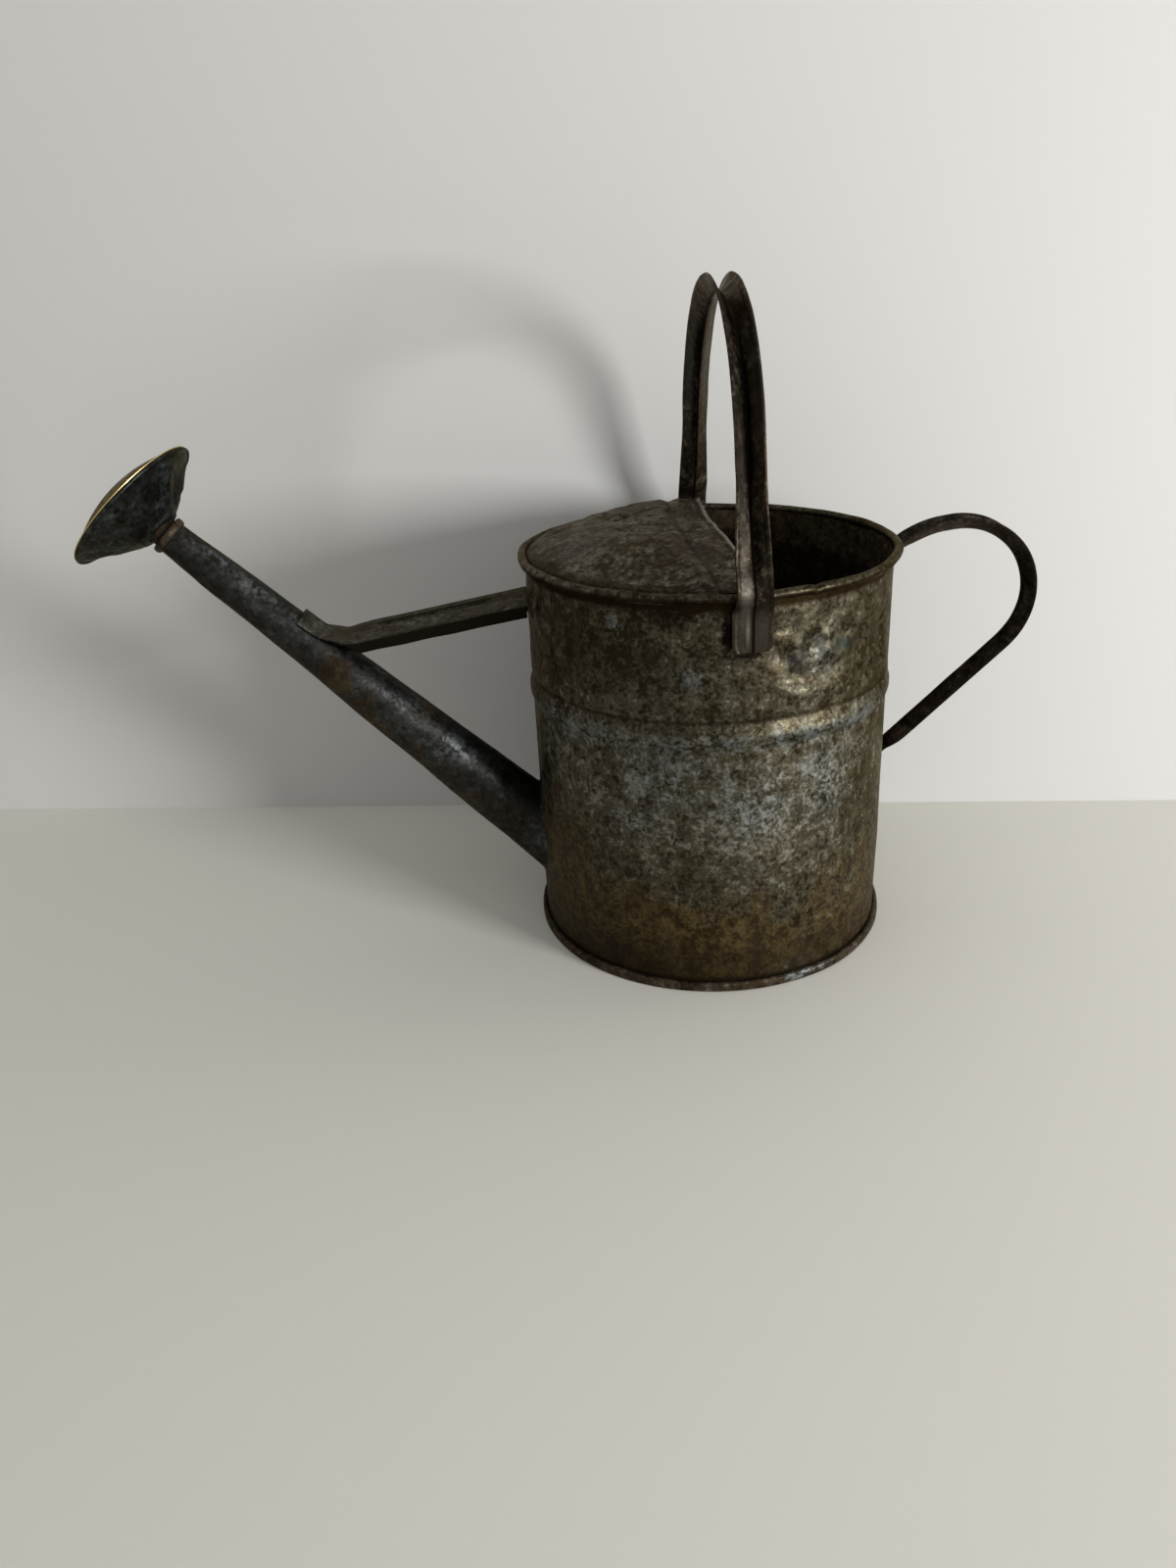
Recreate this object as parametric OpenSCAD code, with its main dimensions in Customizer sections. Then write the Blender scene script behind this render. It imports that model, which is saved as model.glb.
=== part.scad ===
// Weathered galvanised watering can: a rolled sheet can with a wired rim, a half hood,
// a tapered spout with a brace, two channel-section handles and a push-in rose.
// Millimetres. +Z up, the floor at z = 0, the can's axis at x = y = 0.
// The spout points to -X and the tipping handle to +X.

/* [Part to show] */
// One named piece, or all of them
// Slide the rose out of the spout's end
rose_pull = 0; // [0:1:60]

/* [Can] */
// Outside radius of the wall
wall_r = 110; // [90:1:130]
// Sheet thickness
sheet = 0.65; // [0.5:0.05:1.2]
// Height of the centre of the wired rim
rim_z = 244.2; // [180:0.1:300]
// Radius of the wired rim's bead
rim_bead = 2.7; // [2:0.1:4]
// Height of the centre of the raised band
swage_z = 164; // [120:1:200]
// How far the raised band stands out
swage_out = 1.7; // [0.5:0.1:3]
// Outside radius of the foot's folded seam
foot_r = 113.8; // [95:0.1:135]
// Height of the foot's folded seam
foot_h = 6; // [4:0.5:10]

/* [Hood] */
// How far the hood rises over the rim's centre
hood_rise = 15.5; // [8:0.5:40]
// Where the middle of the hood's open edge stands along X
hood_edge_x = 2; // [-20:1:30]
// Radius of the hollow curve of that edge, seen from above
hood_edge_r = 594; // [300:1:900]
// Width of the edge's folded hem
hem_w = 4; // [2:0.5:8]

/* [Spout] */
// Centre of the spout's tip
tip = [-318, 0, 271.3];
// Spout's angle above the floor
spout_deg = 44.75; // [30:0.25:60]
// Outside radius at the tip
tip_r = 9.75; // [7:0.05:14]
// Growth of the radius per millimetre of length
spout_taper = 0.0405; // [0.01:0.0005:0.08]

/* [Brace] */
// Width of the brace's top plate
brace_w = 30; // [16:1:40]
// Depth of its side flanges
brace_flange = 5.6; // [3:0.1:10]

/* [Handles] */
// Plane of the carry handle along X
hoop_x = 7.5; // [-10:0.5:20]
// Height of the centre of the carry handle's half circle
hoop_z = 295.5; // [250:0.5:330]
// Radius over the open edges of the carry handle
hoop_r = 101; // [80:0.5:120]
// Half width of the channel strip
strip_half = 7; // [5:0.25:10]
// Depth of the carry handle's channel
hoop_deep = 9; // [5:0.25:12]
// Depth of the tipping handle's channel
rear_deep = 6.8; // [4:0.1:10]

/* [Rose] */
// Radius of the flare's edge
rose_r = 44.5; // [35:0.1:60]
// Rise of the perforated face
face_rise = 11; // [3:0.5:20]
// Upward tilt of the rose against the spout
rose_tilt = 2; // [0:0.5:10]
// Sideways turn of the rose against the spout
rose_turn = 8; // [0:0.5:12]

/* [Hidden] */
$fn = 96;
gap = 0.05;
wall_in = wall_r - sheet;
bead_c = wall_in + rim_bead;                 // centre radius of the rim's bead
off = 90 - spout_deg;
spout_len = 290.15;

function mix(a, b, t) = a + (b - a) * t;
function ease(t) = let (c = min(1, max(0, t))) c * c * (3 - 2 * c);
function arc(cx, cy, r, a0, a1, n) =
    [for (i = [0:n]) let (a = mix(a0, a1, i / n)) [cx + r * cos(a), cy + r * sin(a)]];
function rev(v) = [for (i = [len(v) - 1:-1:0]) v[i]];

// ---- placing helpers
module at_spout() translate(tip) rotate([0, -off, 0]) children();
module at_rose() at_spout() translate([0, 0, rose_pull]) children();
module tilted() translate([0, 0, 13]) rotate([-rose_turn, rose_tilt, 0]) translate([0, 0, -13]) children();

// solid cone along the spout, grown by g, from s0 to s1 below the tip
module spout_cone(g, s0, s1) at_spout() translate([0, 0, -s1])
    cylinder(h = s1 - s0, r1 = tip_r + spout_taper * s1 + g, r2 = tip_r + spout_taper * s0 + g);

// ---- can wall: straight sheet with a raised band, curled round the rim's wire
function swell(z) =
    let (d = abs(z - swage_z))
    swage_out * (1 - ease((d - 1) / 6)) - 0.7 * max(0, 1 - abs(z - swage_z - 9.5) / 2.2);
band_z = concat([for (z = [swage_z - 9:1.5:swage_z + 12]) z]);

module body_wall() color([0.36, 0.35, 0.31]) {
    difference() {
        rotate_extrude() polygon(concat(
            [[wall_in, 0.75], [wall_r, 0.75]],
            [for (z = band_z) [wall_r + swell(z), z]],
            arc(bead_c, rim_z, rim_bead - sheet, 180, -120, 20),
            rev(arc(bead_c, rim_z, rim_bead, 180, -120, 20)),
            [for (z = rev(band_z)) [wall_in + swell(z), z]]));
        // the hole that feeds the spout
        spout_cone(-sheet, 272, 355);
    }
    // lock seam, turned to the inside at the back
    intersection() {
        difference() {
            cylinder(h = 300, r = wall_in + 0.2);
            translate([0, 0, -1]) cylinder(h = 302, r = wall_in - 1.2);
        }
        translate([60, -3.5, 6]) cube([60, 7, swage_z - 20]);
    }
    intersection() {
        difference() {
            cylinder(h = 300, r = wall_in + 0.2);
            translate([0, 0, -1]) cylinder(h = 302, r = wall_in - 1.2);
        }
        translate([60, -3.5, swage_z + 14]) cube([60, 7, rim_z - swage_z - 19]);
    }
}

module rim_wire() color([0.3, 0.26, 0.22])
    rotate_extrude() translate([bead_c, rim_z]) circle(r = rim_bead - sheet - gap, $fn = 32);

// ---- base: a recessed disc whose edge is folded over the foot of the wall
module base_plate() color([0.33, 0.27, 0.2]) rotate_extrude() polygon([
    [0, 3.3], [wall_in - 0.75, 3.3], [wall_in - 0.75, 0.5], [wall_in - 0.3, 0],
    [foot_r - 0.9, 0], [foot_r - 0.3, 0.5], [foot_r, 1.6], [foot_r, foot_h - 1.8],
    [foot_r - 0.5, foot_h - 0.6], [foot_r - 1.5, foot_h], [wall_r + 0.5, foot_h],
    [wall_r + gap, foot_h - 0.5], [wall_r + gap, 0.7], [wall_in - gap, 0.7],
    [wall_in - gap, 4.0], [0, 4.0]]);

// ---- hood: half of a flat-topped dome, soldered inside the rim, hemmed at its open edge
hood_r = wall_in - gap;
function dome(r) = rim_z + 1.3 + hood_rise * (1 - pow(r / hood_r, 3.2));
dome_steps = [0, 0.2, 0.32, 0.42, 0.5, 0.58, 0.65, 0.72, 0.78, 0.84, 0.89, 0.94, 0.975];

module dome_skin(drop) rotate_extrude() polygon(concat(
    [for (k = dome_steps) [hood_r * k, dome(hood_r * k) - drop]],
    [[hood_r, dome(hood_r) - drop], [hood_r, rim_z - 4], [hood_r - sheet, rim_z - 4],
     [hood_r - sheet, dome(hood_r) - drop - sheet - 0.35]],
    [for (k = rev(dome_steps)) [hood_r * k, dome(hood_r * k) - drop - sheet]]));

module edge_cylinder(more) translate([hood_edge_x + hood_edge_r, 0, 0])
    cylinder(h = 400, r = hood_edge_r + more, $fn = 192);

module crown_hood() color([0.42, 0.4, 0.35]) {
    difference() {
        dome_skin(0);
        edge_cylinder(0);
    }
    // the hem: the edge turned under and pressed flat
    difference() {
        intersection() {
            dome_skin(sheet - 0.02);
            edge_cylinder(hem_w);
            translate([-200, -102, rim_z - 3]) cube([400, 204, 60]);
        }
        edge_cylinder(0);
    }
}

// ---- spout: a rolled cone, cut to the wall, with a ring round its tip
module spout_tube() color([0.3, 0.3, 0.3]) difference() {
    spout_cone(0, 0, 335);
    spout_cone(-sheet, -1, 336);
    translate([0, 0, -5]) cylinder(h = 300, r = wall_r + gap);
}

module spout_ring() color([0.38, 0.27, 0.2]) at_spout() rotate_extrude()
    polygon([[tip_r + gap, 0.1], [tip_r + gap + 1.3, 0.1], [tip_r + 2, -0.5],
             [tip_r + 2.25, -1.7], [tip_r + 2.2, -2.9], [tip_r + 1.5, -3.9],
             [tip_r + 0.35, -4.2]]);

// ---- brace: a shallow channel from the can's wall, its end shaped over the spout
brace_foot = [-225.5, 200];
brace_top = [-112, 220];
brace_deg = atan2(brace_top[1] - brace_foot[1], brace_top[0] - brace_foot[0]);
brace_len = norm(brace_top - brace_foot);
plate_t = 1.2;

module spout_brace() color([0.4, 0.39, 0.36]) {
    difference() {
        translate([brace_foot[0], 0, brace_foot[1]]) rotate([0, -brace_deg, 0]) {
            difference() {
                translate([-9, -brace_w / 2, -plate_t]) cube([brace_len + 19, brace_w, plate_t]);
                // pressed groove along the plate
                translate([32, 4.5, 1.4]) rotate([0, 90, 0]) cylinder(h = 60, r = 2.2, $fn = 40);
                translate([92, 4.5, 1.4]) sphere(r = 2.2, $fn = 40);
                translate([32, 4.5, 1.4]) sphere(r = 2.2, $fn = 40);
            }
            for (s = [-1, 1]) translate([0, s * (brace_w / 2 - plate_t / 2) - plate_t / 2, 0])
                rotate([90, 0, 0]) mirror([0, 0, 1]) linear_extrude(plate_t)
                    polygon([[6, 0], [brace_len - 1.5, 0], [brace_len - 2, -brace_flange - plate_t],
                             [6, -brace_flange + 1 - plate_t]]);
        }
        spout_cone(0.6, 64, 195);
        cylinder(h = 300, r = wall_r + gap);
    }
    // saddle: the end of the strip, wrapped over the top of the spout
    intersection() {
        difference() {
            spout_cone(1.3, 96.6, 135.6);
            spout_cone(gap, 64, 195);
        }
        at_spout() translate([0, -12, -145]) cube([40, 24, 105]);
    }
}

// ---- channel strips: each station is [x, y, tx, ty, half width, depth, wrap, grow]
// x, y is the ridge line in the strip's own plane, tx, ty its direction of travel,
// wrap the sagitta that lets a flat end lie on the round wall, and grow a little extra
// all round where a strip is let into the bent part.
strip_n = 3;
function skin_t(d) = 0.9 + 0.055 * d;
into = 0.8;
function point_at(s, u, t) =
    let (lift = s[5] * abs(u) + t - s[6] * u * u)
    [s[0] - s[3] * lift, (s[4] + s[7]) * u, s[1] + s[2] * lift];
function ring_at(s) = concat(
    [for (k = [-strip_n:strip_n]) point_at(s, k / strip_n, -s[7])],
    [for (k = [strip_n:-1:-strip_n]) point_at(s, k / strip_n, skin_t(s[5]) + s[7])]);

module strip(stations) {
    m = 4 * strip_n + 2;
    n = len(stations);
    pts = [for (s = stations) each ring_at(s)];
    sides = [for (i = [0:n - 2], k = [0:m - 1]) each
        [[i * m + k, i * m + (k + 1) % m, (i + 1) * m + k],
         [i * m + (k + 1) % m, (i + 1) * m + (k + 1) % m, (i + 1) * m + k]]];
    // each end is closed by small quads between the inner and the outer line
    caps = [for (k = [0:2 * strip_n - 1]) each
        [[k, m - 1 - k, k + 1], [k + 1, m - 1 - k, m - 2 - k],
         [(n - 1) * m + k, (n - 1) * m + k + 1, (n - 1) * m + m - 1 - k],
         [(n - 1) * m + k + 1, (n - 1) * m + m - 2 - k, (n - 1) * m + m - 1 - k]]];
    polyhedron(points = pts, faces = [for (f = concat(sides, caps)) rev(f)]);
}

function vee(r, deep) = [
    [r, 0], [r + deep, strip_half], [r + deep + skin_t(deep), strip_half],
    [r + skin_t(deep), 0], [r + deep + skin_t(deep), -strip_half], [r + deep, -strip_half]];

module swept_vee(r, deep, sweep) rotate_extrude(angle = sweep) polygon(vee(r, deep));

// ---- carry handle: a fixed hoop, its ends flattened and soldered below the rim
hoop_in = hoop_r - hoop_deep - skin_t(hoop_deep);
lug_r = wall_r + gap;
splay = 13.5;                            // the legs lean outward by this angle
leg_dir = [sin(splay), -cos(splay)];
leg_top = [hoop_r * cos(splay), hoop_z + hoop_r * sin(splay)];
// the open part of each leg: [distance down the leg, half width, depth]
open_leg = [[-into, 7, 9, 0.07], [7, 7, 9], [18, 7, 8.9], [30, 7.2, 8.4], [40, 7.7, 7.5], [49, 8.3, 6.2],
            [55, 8.7, 5.2], [60, 9, 4.2]];
// the flat part: [height, inner face's distance from the axis, lean, half width, depth, wrap]
flat_leg = [[255.5, 110.2, 22, 9.1, 3.6, 0], [250.8, 113.2, 16, 9.2, 2.9, 0],
            [246.5, 114.9, 3, 9.4, 2.4, 0.1], [243, 114.85, -5, 9.8, 1.8, 0.15],
            [239.5, 112.9, -32, 10.5, 1, 0.3], [236.5, 110.8, -18, 10.9, 0.4, 0.5], [233, lug_r, 0, 11, 0, 0.56],
            [217, lug_r, 0, 11, 0, 0.56], [214.6, lug_r, 0, 10.2, 0, 0.48],
            [213.4, lug_r, 0, 8.6, 0, 0.34]];

module leg_strip() translate([hoop_x, 0, 0]) rotate([0, 0, 90]) strip(concat(
    [for (s = open_leg)
        let (p = leg_top + s[0] * leg_dir - (s[2] + skin_t(s[2])) * [cos(splay), sin(splay)])
        [p[0], p[1], leg_dir[0], leg_dir[1], s[1], s[2], 0, s[3] == undef ? 0 : s[3]]],
    [for (s = flat_leg) [s[1], s[0], sin(s[2]), -cos(s[2]), s[3], s[4], s[5], 0]]));

module carry_handle() color([0.27, 0.24, 0.21]) difference() {
    union() {
        translate([hoop_x, 0, hoop_z]) rotate([0, 0, 90]) rotate([90, 0, 0]) rotate([0, 0, splay])
            swept_vee(hoop_in, hoop_deep, 180 - 2 * splay);
        leg_strip();
        mirror([0, 1, 0]) leg_strip();
    }
    cylinder(h = rim_z - 3, r = wall_r + 0.02);
    rotate_extrude() translate([bead_c, rim_z]) circle(r = rim_bead + gap, $fn = 48);
}

// ---- tipping handle: a rounded loop, a straight run down to the wall, flat ends
rear_c = [156, 206];
rear_in = 40.2;
rear_run = -43;                          // direction of the straight run, below the horizontal
bow0 = 100;                              // where the round part starts and ends
bow1 = -47;
run_len = 62;
run0 = rear_c + rear_in * [cos(bow1), sin(bow1)];
run_dir = [sin(bow1), -cos(bow1)];
run1 = run0 + run_len * run_dir;
up0 = rear_c + rear_in * [cos(bow0), sin(bow0)];
up_dir = [sin(bow0), -cos(bow0)];
// the upper end: [x, z, direction, half width, depth, wrap]
upper = [[wall_r + gap + 0.9, 216, 90, 6, 0, -0.164], [wall_r + gap + 0.9, 217.2, 90, 7.6, 0, -0.263],
         [wall_r + gap + 0.9, 219, 90, 8.4, 0, -0.321], [wall_r + gap + 0.9, 226, 90, 8.4, 0, -0.321],
         [112.1, 229, 68, 8.2, 0.6, -0.15], [113.6, 231.6, 50, 7.9, 1.8, 0],
         [116.2, 233.9, 36, 7.6, 3.6, 0], [119.6, 236, 29, 7.3, 5.2, 0],
         [124.4, 238.3, 25, 7.1, 6.2, 0], [130.2, 240.8, 22, 7, 6.6, 0],
         [136.2, 243, 18, 7, 6.8, 0], [142.6, 244.7, 13, 7, 6.8, 0]];

module rear_handle() color([0.2, 0.17, 0.15]) union() {
    translate([rear_c[0], 0, rear_c[1]]) rotate([90, 0, 0]) rotate([0, 0, bow1])
        swept_vee(rear_in, rear_deep, bow0 - bow1);
    // upper end, from the lug on the wall to the start of the bow
    strip(concat(
        [for (s = upper) [s[0], s[1], cos(s[2]), sin(s[2]), s[3], s[4], s[5], 0]],
        [[up0[0] + into * up_dir[0], up0[1] + into * up_dir[1], up_dir[0], up_dir[1],
          strip_half, rear_deep, 0, 0.07]]));
    // straight run and lower end
    strip(concat(
        [for (s = [[-into, 0.07], [7, 0], [run_len, 0]]) let (p = run0 + s[0] * run_dir)
            [p[0], p[1], run_dir[0], run_dir[1], strip_half, rear_deep, 0, s[1]]],
        [for (s = [[12, 7, 6.8], [23.4, 7, 6.8], [29.1, 7.2, 6]])
            let (p = run1 + s[0] * run_dir) [p[0], p[1], run_dir[0], run_dir[1], s[1], s[2], 0, 0]],
        [[wall_r + 2.8, 109.8, -0.6, -0.8, 7.9, 3.6, 0, 0],
         [wall_r + 1.2, 105.8, -0.32, -0.9474, 8.6, 1.2, 0.2, 0],
         [wall_r + 0.3, 102, -0.12, -0.9928, 9, 0.3, 0.34, 0],
         [wall_r + gap, 98, 0, -1, 9, 0, 0.369, 0], [wall_r + gap, 78, 0, -1, 9, 0, 0.369, 0],
         [wall_r + gap, 75.4, 0, -1, 7.8, 0, 0.277, 0], [wall_r + gap, 74.2, 0, -1, 6, 0, 0.164, 0]]));
}

// ---- rose: a neck pushed into the spout, a flared shell and a domed, pierced face
module rose_neck() color([0.2, 0.2, 0.21]) at_rose() difference() {
    translate([0, 0, -22]) cylinder(h = 27.5, r = 9);
    translate([0, 0, -23]) cylinder(h = 30, r = 8.4);
}

flare = [[9.2, 2.7], [12.4, 2.7], [13.3, 3.1], [14, 4], [15.2, 5.2], [17.2, 6.6], [20.4, 8.8],
         [25.4, 12.1], [30.6, 15.2], [35.3, 17.9], [39.7, 20.4], [43.4, 22.7]];

module rose_shell() color([0.24, 0.26, 0.27]) at_rose() difference() {
    tilted() rotate_extrude() union() {
        polygon(concat(flare, rev([for (p = flare) [p[0] - 0.42, p[1] + 0.62]])));
        polygon([[7, 2.7], [9.6, 2.7], [9.6, 3.32], [7, 3.32]]);
        translate([rose_r, 23]) circle(r = 1.2, $fn = 24);
    }
    translate([0, 0, -30]) cylinder(h = 60, r = 9 + gap / 2);
}

face_z = 24.27;
face_r = rose_r - 2.3;
face_ball = (pow(face_r, 2) + pow(face_rise, 2)) / (2 * face_rise);
function cap(r, d) = face_z + face_rise - face_ball + sqrt(pow(face_ball - d, 2) - r * r);
cap_steps = [for (i = [0:12]) face_r * i / 12];

module rose_face() color([0.55, 0.43, 0.2]) at_rose() tilted() difference() {
    rotate_extrude() polygon(concat(
        [for (r = cap_steps) [r, cap(r, 0) + 0.55]],
        [[rose_r + 0.3, face_z + 0.55], [rose_r + 0.55, face_z + 0.3], [rose_r + 0.4, face_z - 0.02]],
        rev([for (r = cap_steps) [r, cap(r, 0) - 0.02]])));
    for (ring = [0:5]) for (k = [0:max(0, ring * 6 - 1)])
        rotate([0, 0, ring == 0 ? 0 : 360 * (k + ring * 0.37) / (ring * 6)])
            translate([ring * 6.7, 0, 20]) cylinder(h = 30, r = 0.9, $fn = 8);
}

body_wall();
rim_wire();
base_plate();
crown_hood();
spout_tube();
spout_ring();
spout_brace();
carry_handle();
rear_handle();
rose_neck();
rose_shell();
rose_face();
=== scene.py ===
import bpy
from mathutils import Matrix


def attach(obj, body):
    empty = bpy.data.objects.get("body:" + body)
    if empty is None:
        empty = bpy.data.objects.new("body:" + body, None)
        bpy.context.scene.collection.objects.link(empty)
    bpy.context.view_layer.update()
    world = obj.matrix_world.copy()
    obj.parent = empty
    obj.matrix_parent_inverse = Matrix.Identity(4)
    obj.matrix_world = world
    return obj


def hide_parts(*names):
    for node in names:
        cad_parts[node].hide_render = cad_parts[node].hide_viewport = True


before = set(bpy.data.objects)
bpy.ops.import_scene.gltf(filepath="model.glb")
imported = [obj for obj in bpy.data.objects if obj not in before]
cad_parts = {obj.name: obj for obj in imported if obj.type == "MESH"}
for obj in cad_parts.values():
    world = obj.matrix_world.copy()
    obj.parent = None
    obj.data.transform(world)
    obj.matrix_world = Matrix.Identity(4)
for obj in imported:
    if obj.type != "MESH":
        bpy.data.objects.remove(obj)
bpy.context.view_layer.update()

import math

import bpy
import numpy as np
from mathutils import Matrix, Vector

mm = 0.001
print("frame loaded:", sorted(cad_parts))


# small tools for shapes, all in millimetres

def ease(t):
    t = np.clip(t, 0.0, 1.0)
    return t * t * (3 - 2 * t)


def latticeValue(cell, seed):
    # repeatable value between -1 and 1 for each whole-number cell
    h = cell[..., 0] * 374761393 + cell[..., 1] * 668265263 + cell[..., 2] * 2147483647 + seed * 974634777
    h = (h ^ (h >> 13)) * 1274126177
    h = (h ^ (h >> 16)) & 0xFFFFFF
    return h / float(0x7FFFFF) - 1.0


def lump(points, size, seed, sharp=False):
    # soft (or creased) noise with bumps about this size
    p = np.asarray(points, float) / size
    cell = np.floor(p).astype(np.int64)
    t = p - cell
    if not sharp:
        t = t * t * (3 - 2 * t)
    total = np.zeros(p.shape[:-1])
    for dx in (0, 1):
        for dy in (0, 1):
            for dz in (0, 1):
                w = (t[..., 0] if dx else 1 - t[..., 0]) * (t[..., 1] if dy else 1 - t[..., 1]) \
                    * (t[..., 2] if dz else 1 - t[..., 2])
                total += w * latticeValue(cell + np.array([dx, dy, dz]), seed)
    return total


def rough(points, size, seed, layers=3, sharp=False):
    total, weight = 0, 1.0
    for k in range(layers):
        total = total + weight * lump(points, size / 2 ** k, seed + k, sharp)
        weight *= 0.5
    return total


def makePiece(name, verts, faces, material, body, slot, stoodFor, sharpEdge=40):
    # stoodFor: the CAD nodes that this piece replaces
    mesh = bpy.data.meshes.new(name)
    mesh.from_pydata([tuple(v) for v in np.asarray(verts, float) * mm], [], faces)
    mesh.validate()
    mesh.update()
    mesh.polygons.foreach_set("use_smooth", [True] * len(mesh.polygons))
    mesh.set_sharp_from_angle(angle=math.radians(sharpEdge))
    obj = bpy.data.objects.new(name, mesh)
    bpy.context.scene.collection.objects.link(obj)
    mesh.materials.append(material)
    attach(obj, body)
    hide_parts(*stoodFor)
    print("made", name, len(mesh.polygons), "faces")
    return obj


def gridNormals(grid, wrap):
    if wrap:
        du = np.roll(grid, -1, 0) - np.roll(grid, 1, 0)
    else:
        du = np.gradient(grid, axis=0)
    dv = np.gradient(grid, axis=1)
    n = np.cross(du, dv)
    return n / np.maximum(np.linalg.norm(n, axis=-1, keepdims=True), 1e-9)


def stitched(front, back, wrap, keep=None):
    # closes two matching grids into one solid; keep drops cells to leave a hole
    nu, nv = front.shape[:2]
    verts = np.concatenate([front.reshape(-1, 3), back.reshape(-1, 3)])
    count = nu * nv
    cells = nu if wrap else nu - 1
    if keep is None:
        keep = np.ones((cells, nv - 1), bool)
    faces = []

    def at(i, j):
        return (i % nu) * nv + j

    for i in range(cells):
        for j in range(nv - 1):
            if not keep[i, j]:
                continue
            a, b, c, d = at(i, j), at(i + 1, j), at(i + 1, j + 1), at(i, j + 1)
            faces.append((a, b, c, d))
            faces.append((d + count, c + count, b + count, a + count))
            if j == 0 or not keep[i, j - 1]:
                faces.append((b, a, a + count, b + count))
            if j == nv - 2 or not keep[i, j + 1]:
                faces.append((d, c, c + count, d + count))
            left = (i - 1) % nu if wrap else i - 1
            right = (i + 1) % nu if wrap else i + 1
            if (not wrap and i == 0) or (left >= 0 and left < cells and not keep[left, j]):
                faces.append((a, d, d + count, a + count))
            if (not wrap and i == cells - 1) or (right < cells and not keep[right, j]):
                faces.append((c, b, b + count, c + count))
    return verts, faces


def sheetGrid(grid, thick, wrap=False):
    # a sheet of this thickness on the side away from the grid's normals
    return stitched(grid, grid - gridNormals(grid, wrap) * thick, wrap)


def ringGrid(profile, turns, place):
    # closed profile carried round by place(angle, profile points)
    angles = np.linspace(0, 2 * math.pi, turns, endpoint=False)
    verts = np.concatenate([place(a, profile) for a in angles])
    k = len(profile)
    faces = []
    for i in range(turns):
        for j in range(k):
            a, b = i * k + j, i * k + (j + 1) % k
            c, d = ((i + 1) % turns) * k + (j + 1) % k, ((i + 1) % turns) * k + j
            faces.append((a, d, c, b))
    return verts, faces


# small tools for materials

def node(tree, kind, values=None, **options):
    # a shader node; each value goes on its socket, as a link where it is a socket itself
    made = tree.nodes.new(kind)
    for key, value in options.items():
        setattr(made, key, value)
    for key, value in (values or {}).items():
        socket = made.inputs[key]
        if isinstance(value, bpy.types.NodeSocket):
            tree.links.new(value, socket)
        elif socket.type == "RGBA" and len(value) == 3:
            socket.default_value = (*value, 1)
        else:
            socket.default_value = value
    return made


def calc(tree, operation, a, b=0.0, clamp=False):
    return node(tree, "ShaderNodeMath", {0: a, 1: b}, operation=operation, use_clamp=clamp).outputs[0]


def plus(tree, a, b):
    return calc(tree, "ADD", a, b)


def minus(tree, a, b):
    return calc(tree, "SUBTRACT", a, b)


def times(tree, a, b, clamp=False):
    return calc(tree, "MULTIPLY", a, b, clamp)


def gathered(tree, operation, values):
    total = values[0]
    for value in values[1:]:
        total = calc(tree, operation, total, value)
    return total


def weighed(tree, *parts):
    # sum of values, each with its weight
    return gathered(tree, "ADD", [times(tree, value, weight) for value, weight in parts])


def offFrom(tree, value, place):
    # how far a value is from a place in millimetres
    return calc(tree, "ABSOLUTE", minus(tree, value, place * mm))


def vectorCalc(tree, operation, a, b=(0, 0, 0)):
    return node(tree, "ShaderNodeVectorMath", {0: a, 1: b}, operation=operation).outputs


def spread(tree, value, low, high, toLow=0.0, toHigh=1.0):
    return node(tree, "ShaderNodeMapRange", {"Value": value, "From Min": low, "From Max": high,
                                             "To Min": toLow, "To Max": toHigh},
                interpolation_type="SMOOTHSTEP").outputs[0]


def blendColour(tree, amount, a, b, mode="MIX"):
    made = tree.nodes.new("ShaderNodeMix")
    made.data_type, made.blend_type = "RGBA", mode
    for index, value in ((0, amount), (6, a), (7, b)):
        socket = made.inputs[index]
        if isinstance(value, bpy.types.NodeSocket):
            tree.links.new(value, socket)
        elif index == 0:
            socket.default_value = value
        else:
            socket.default_value = (*value, 1)
    return made.outputs[2]


def grain(tree, vector, scale, detail, roughness, squeeze=None, distortion=0.0):
    if squeeze:
        vector = vectorCalc(tree, "MULTIPLY", vector, squeeze)[0]
    return node(tree, "ShaderNodeTexNoise", {"Vector": vector, "Scale": scale, "Detail": detail,
                                             "Roughness": roughness, "Distortion": distortion}).outputs[0]


def patch(tree, vector, centre, size):
    # 1 at this place, fading to 0 at these half sizes, in millimetres
    shifted = vectorCalc(tree, "SUBTRACT", vector, [c * mm for c in centre])[0]
    shared = vectorCalc(tree, "DIVIDE", shifted, [c * mm for c in size])[0]
    return spread(tree, vectorCalc(tree, "LENGTH", shared)["Value"], 1.0, 0.0)


# what a sheet has where its own look says nothing else
plainSheet = {
    "broadScale": 15, "patchScale": 75, "fineScale": 330, "streakScale": 70, "streakAlong": (1, 1, 0.16),
    "streaky": 0.12, "toneRange": (0.41, 0.59), "toneBands": [],
    "flakeScale": 270, "flake": 0.22, "flakeBump": 0.08,
    "bloom": (0.25, 0.29, 0.3), "bloomAt": [], "bloomScale": 55,
    "rust": 0.2, "rustAt": [], "rustScale": 34, "rustSoft": 0.12, "rustCover": 0.85,
    "rustLight": (0.1, 0.06, 0.016), "rustDark": (0.035, 0.014, 0.004),
    "dirt": (0.018, 0.012, 0.007), "runs": 0.4, "pits": 0.7, "pitScale": 190,
    "stainsAndPaintedLightAt": [], "foldShadeAndDirt": [], "ringLines": [], "shift": (0, 0, 0),
    "metal": 0.7, "roughness": (0.36, 0.6), "bump": 0.5, "bumpDeep": 0.0008,
    # oxide skin: little shine of its own, and none of a clean metal's white edge
    "gloss": 0.18, "edgeTint": (0.6, 0.54, 0.45),
}


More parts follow.
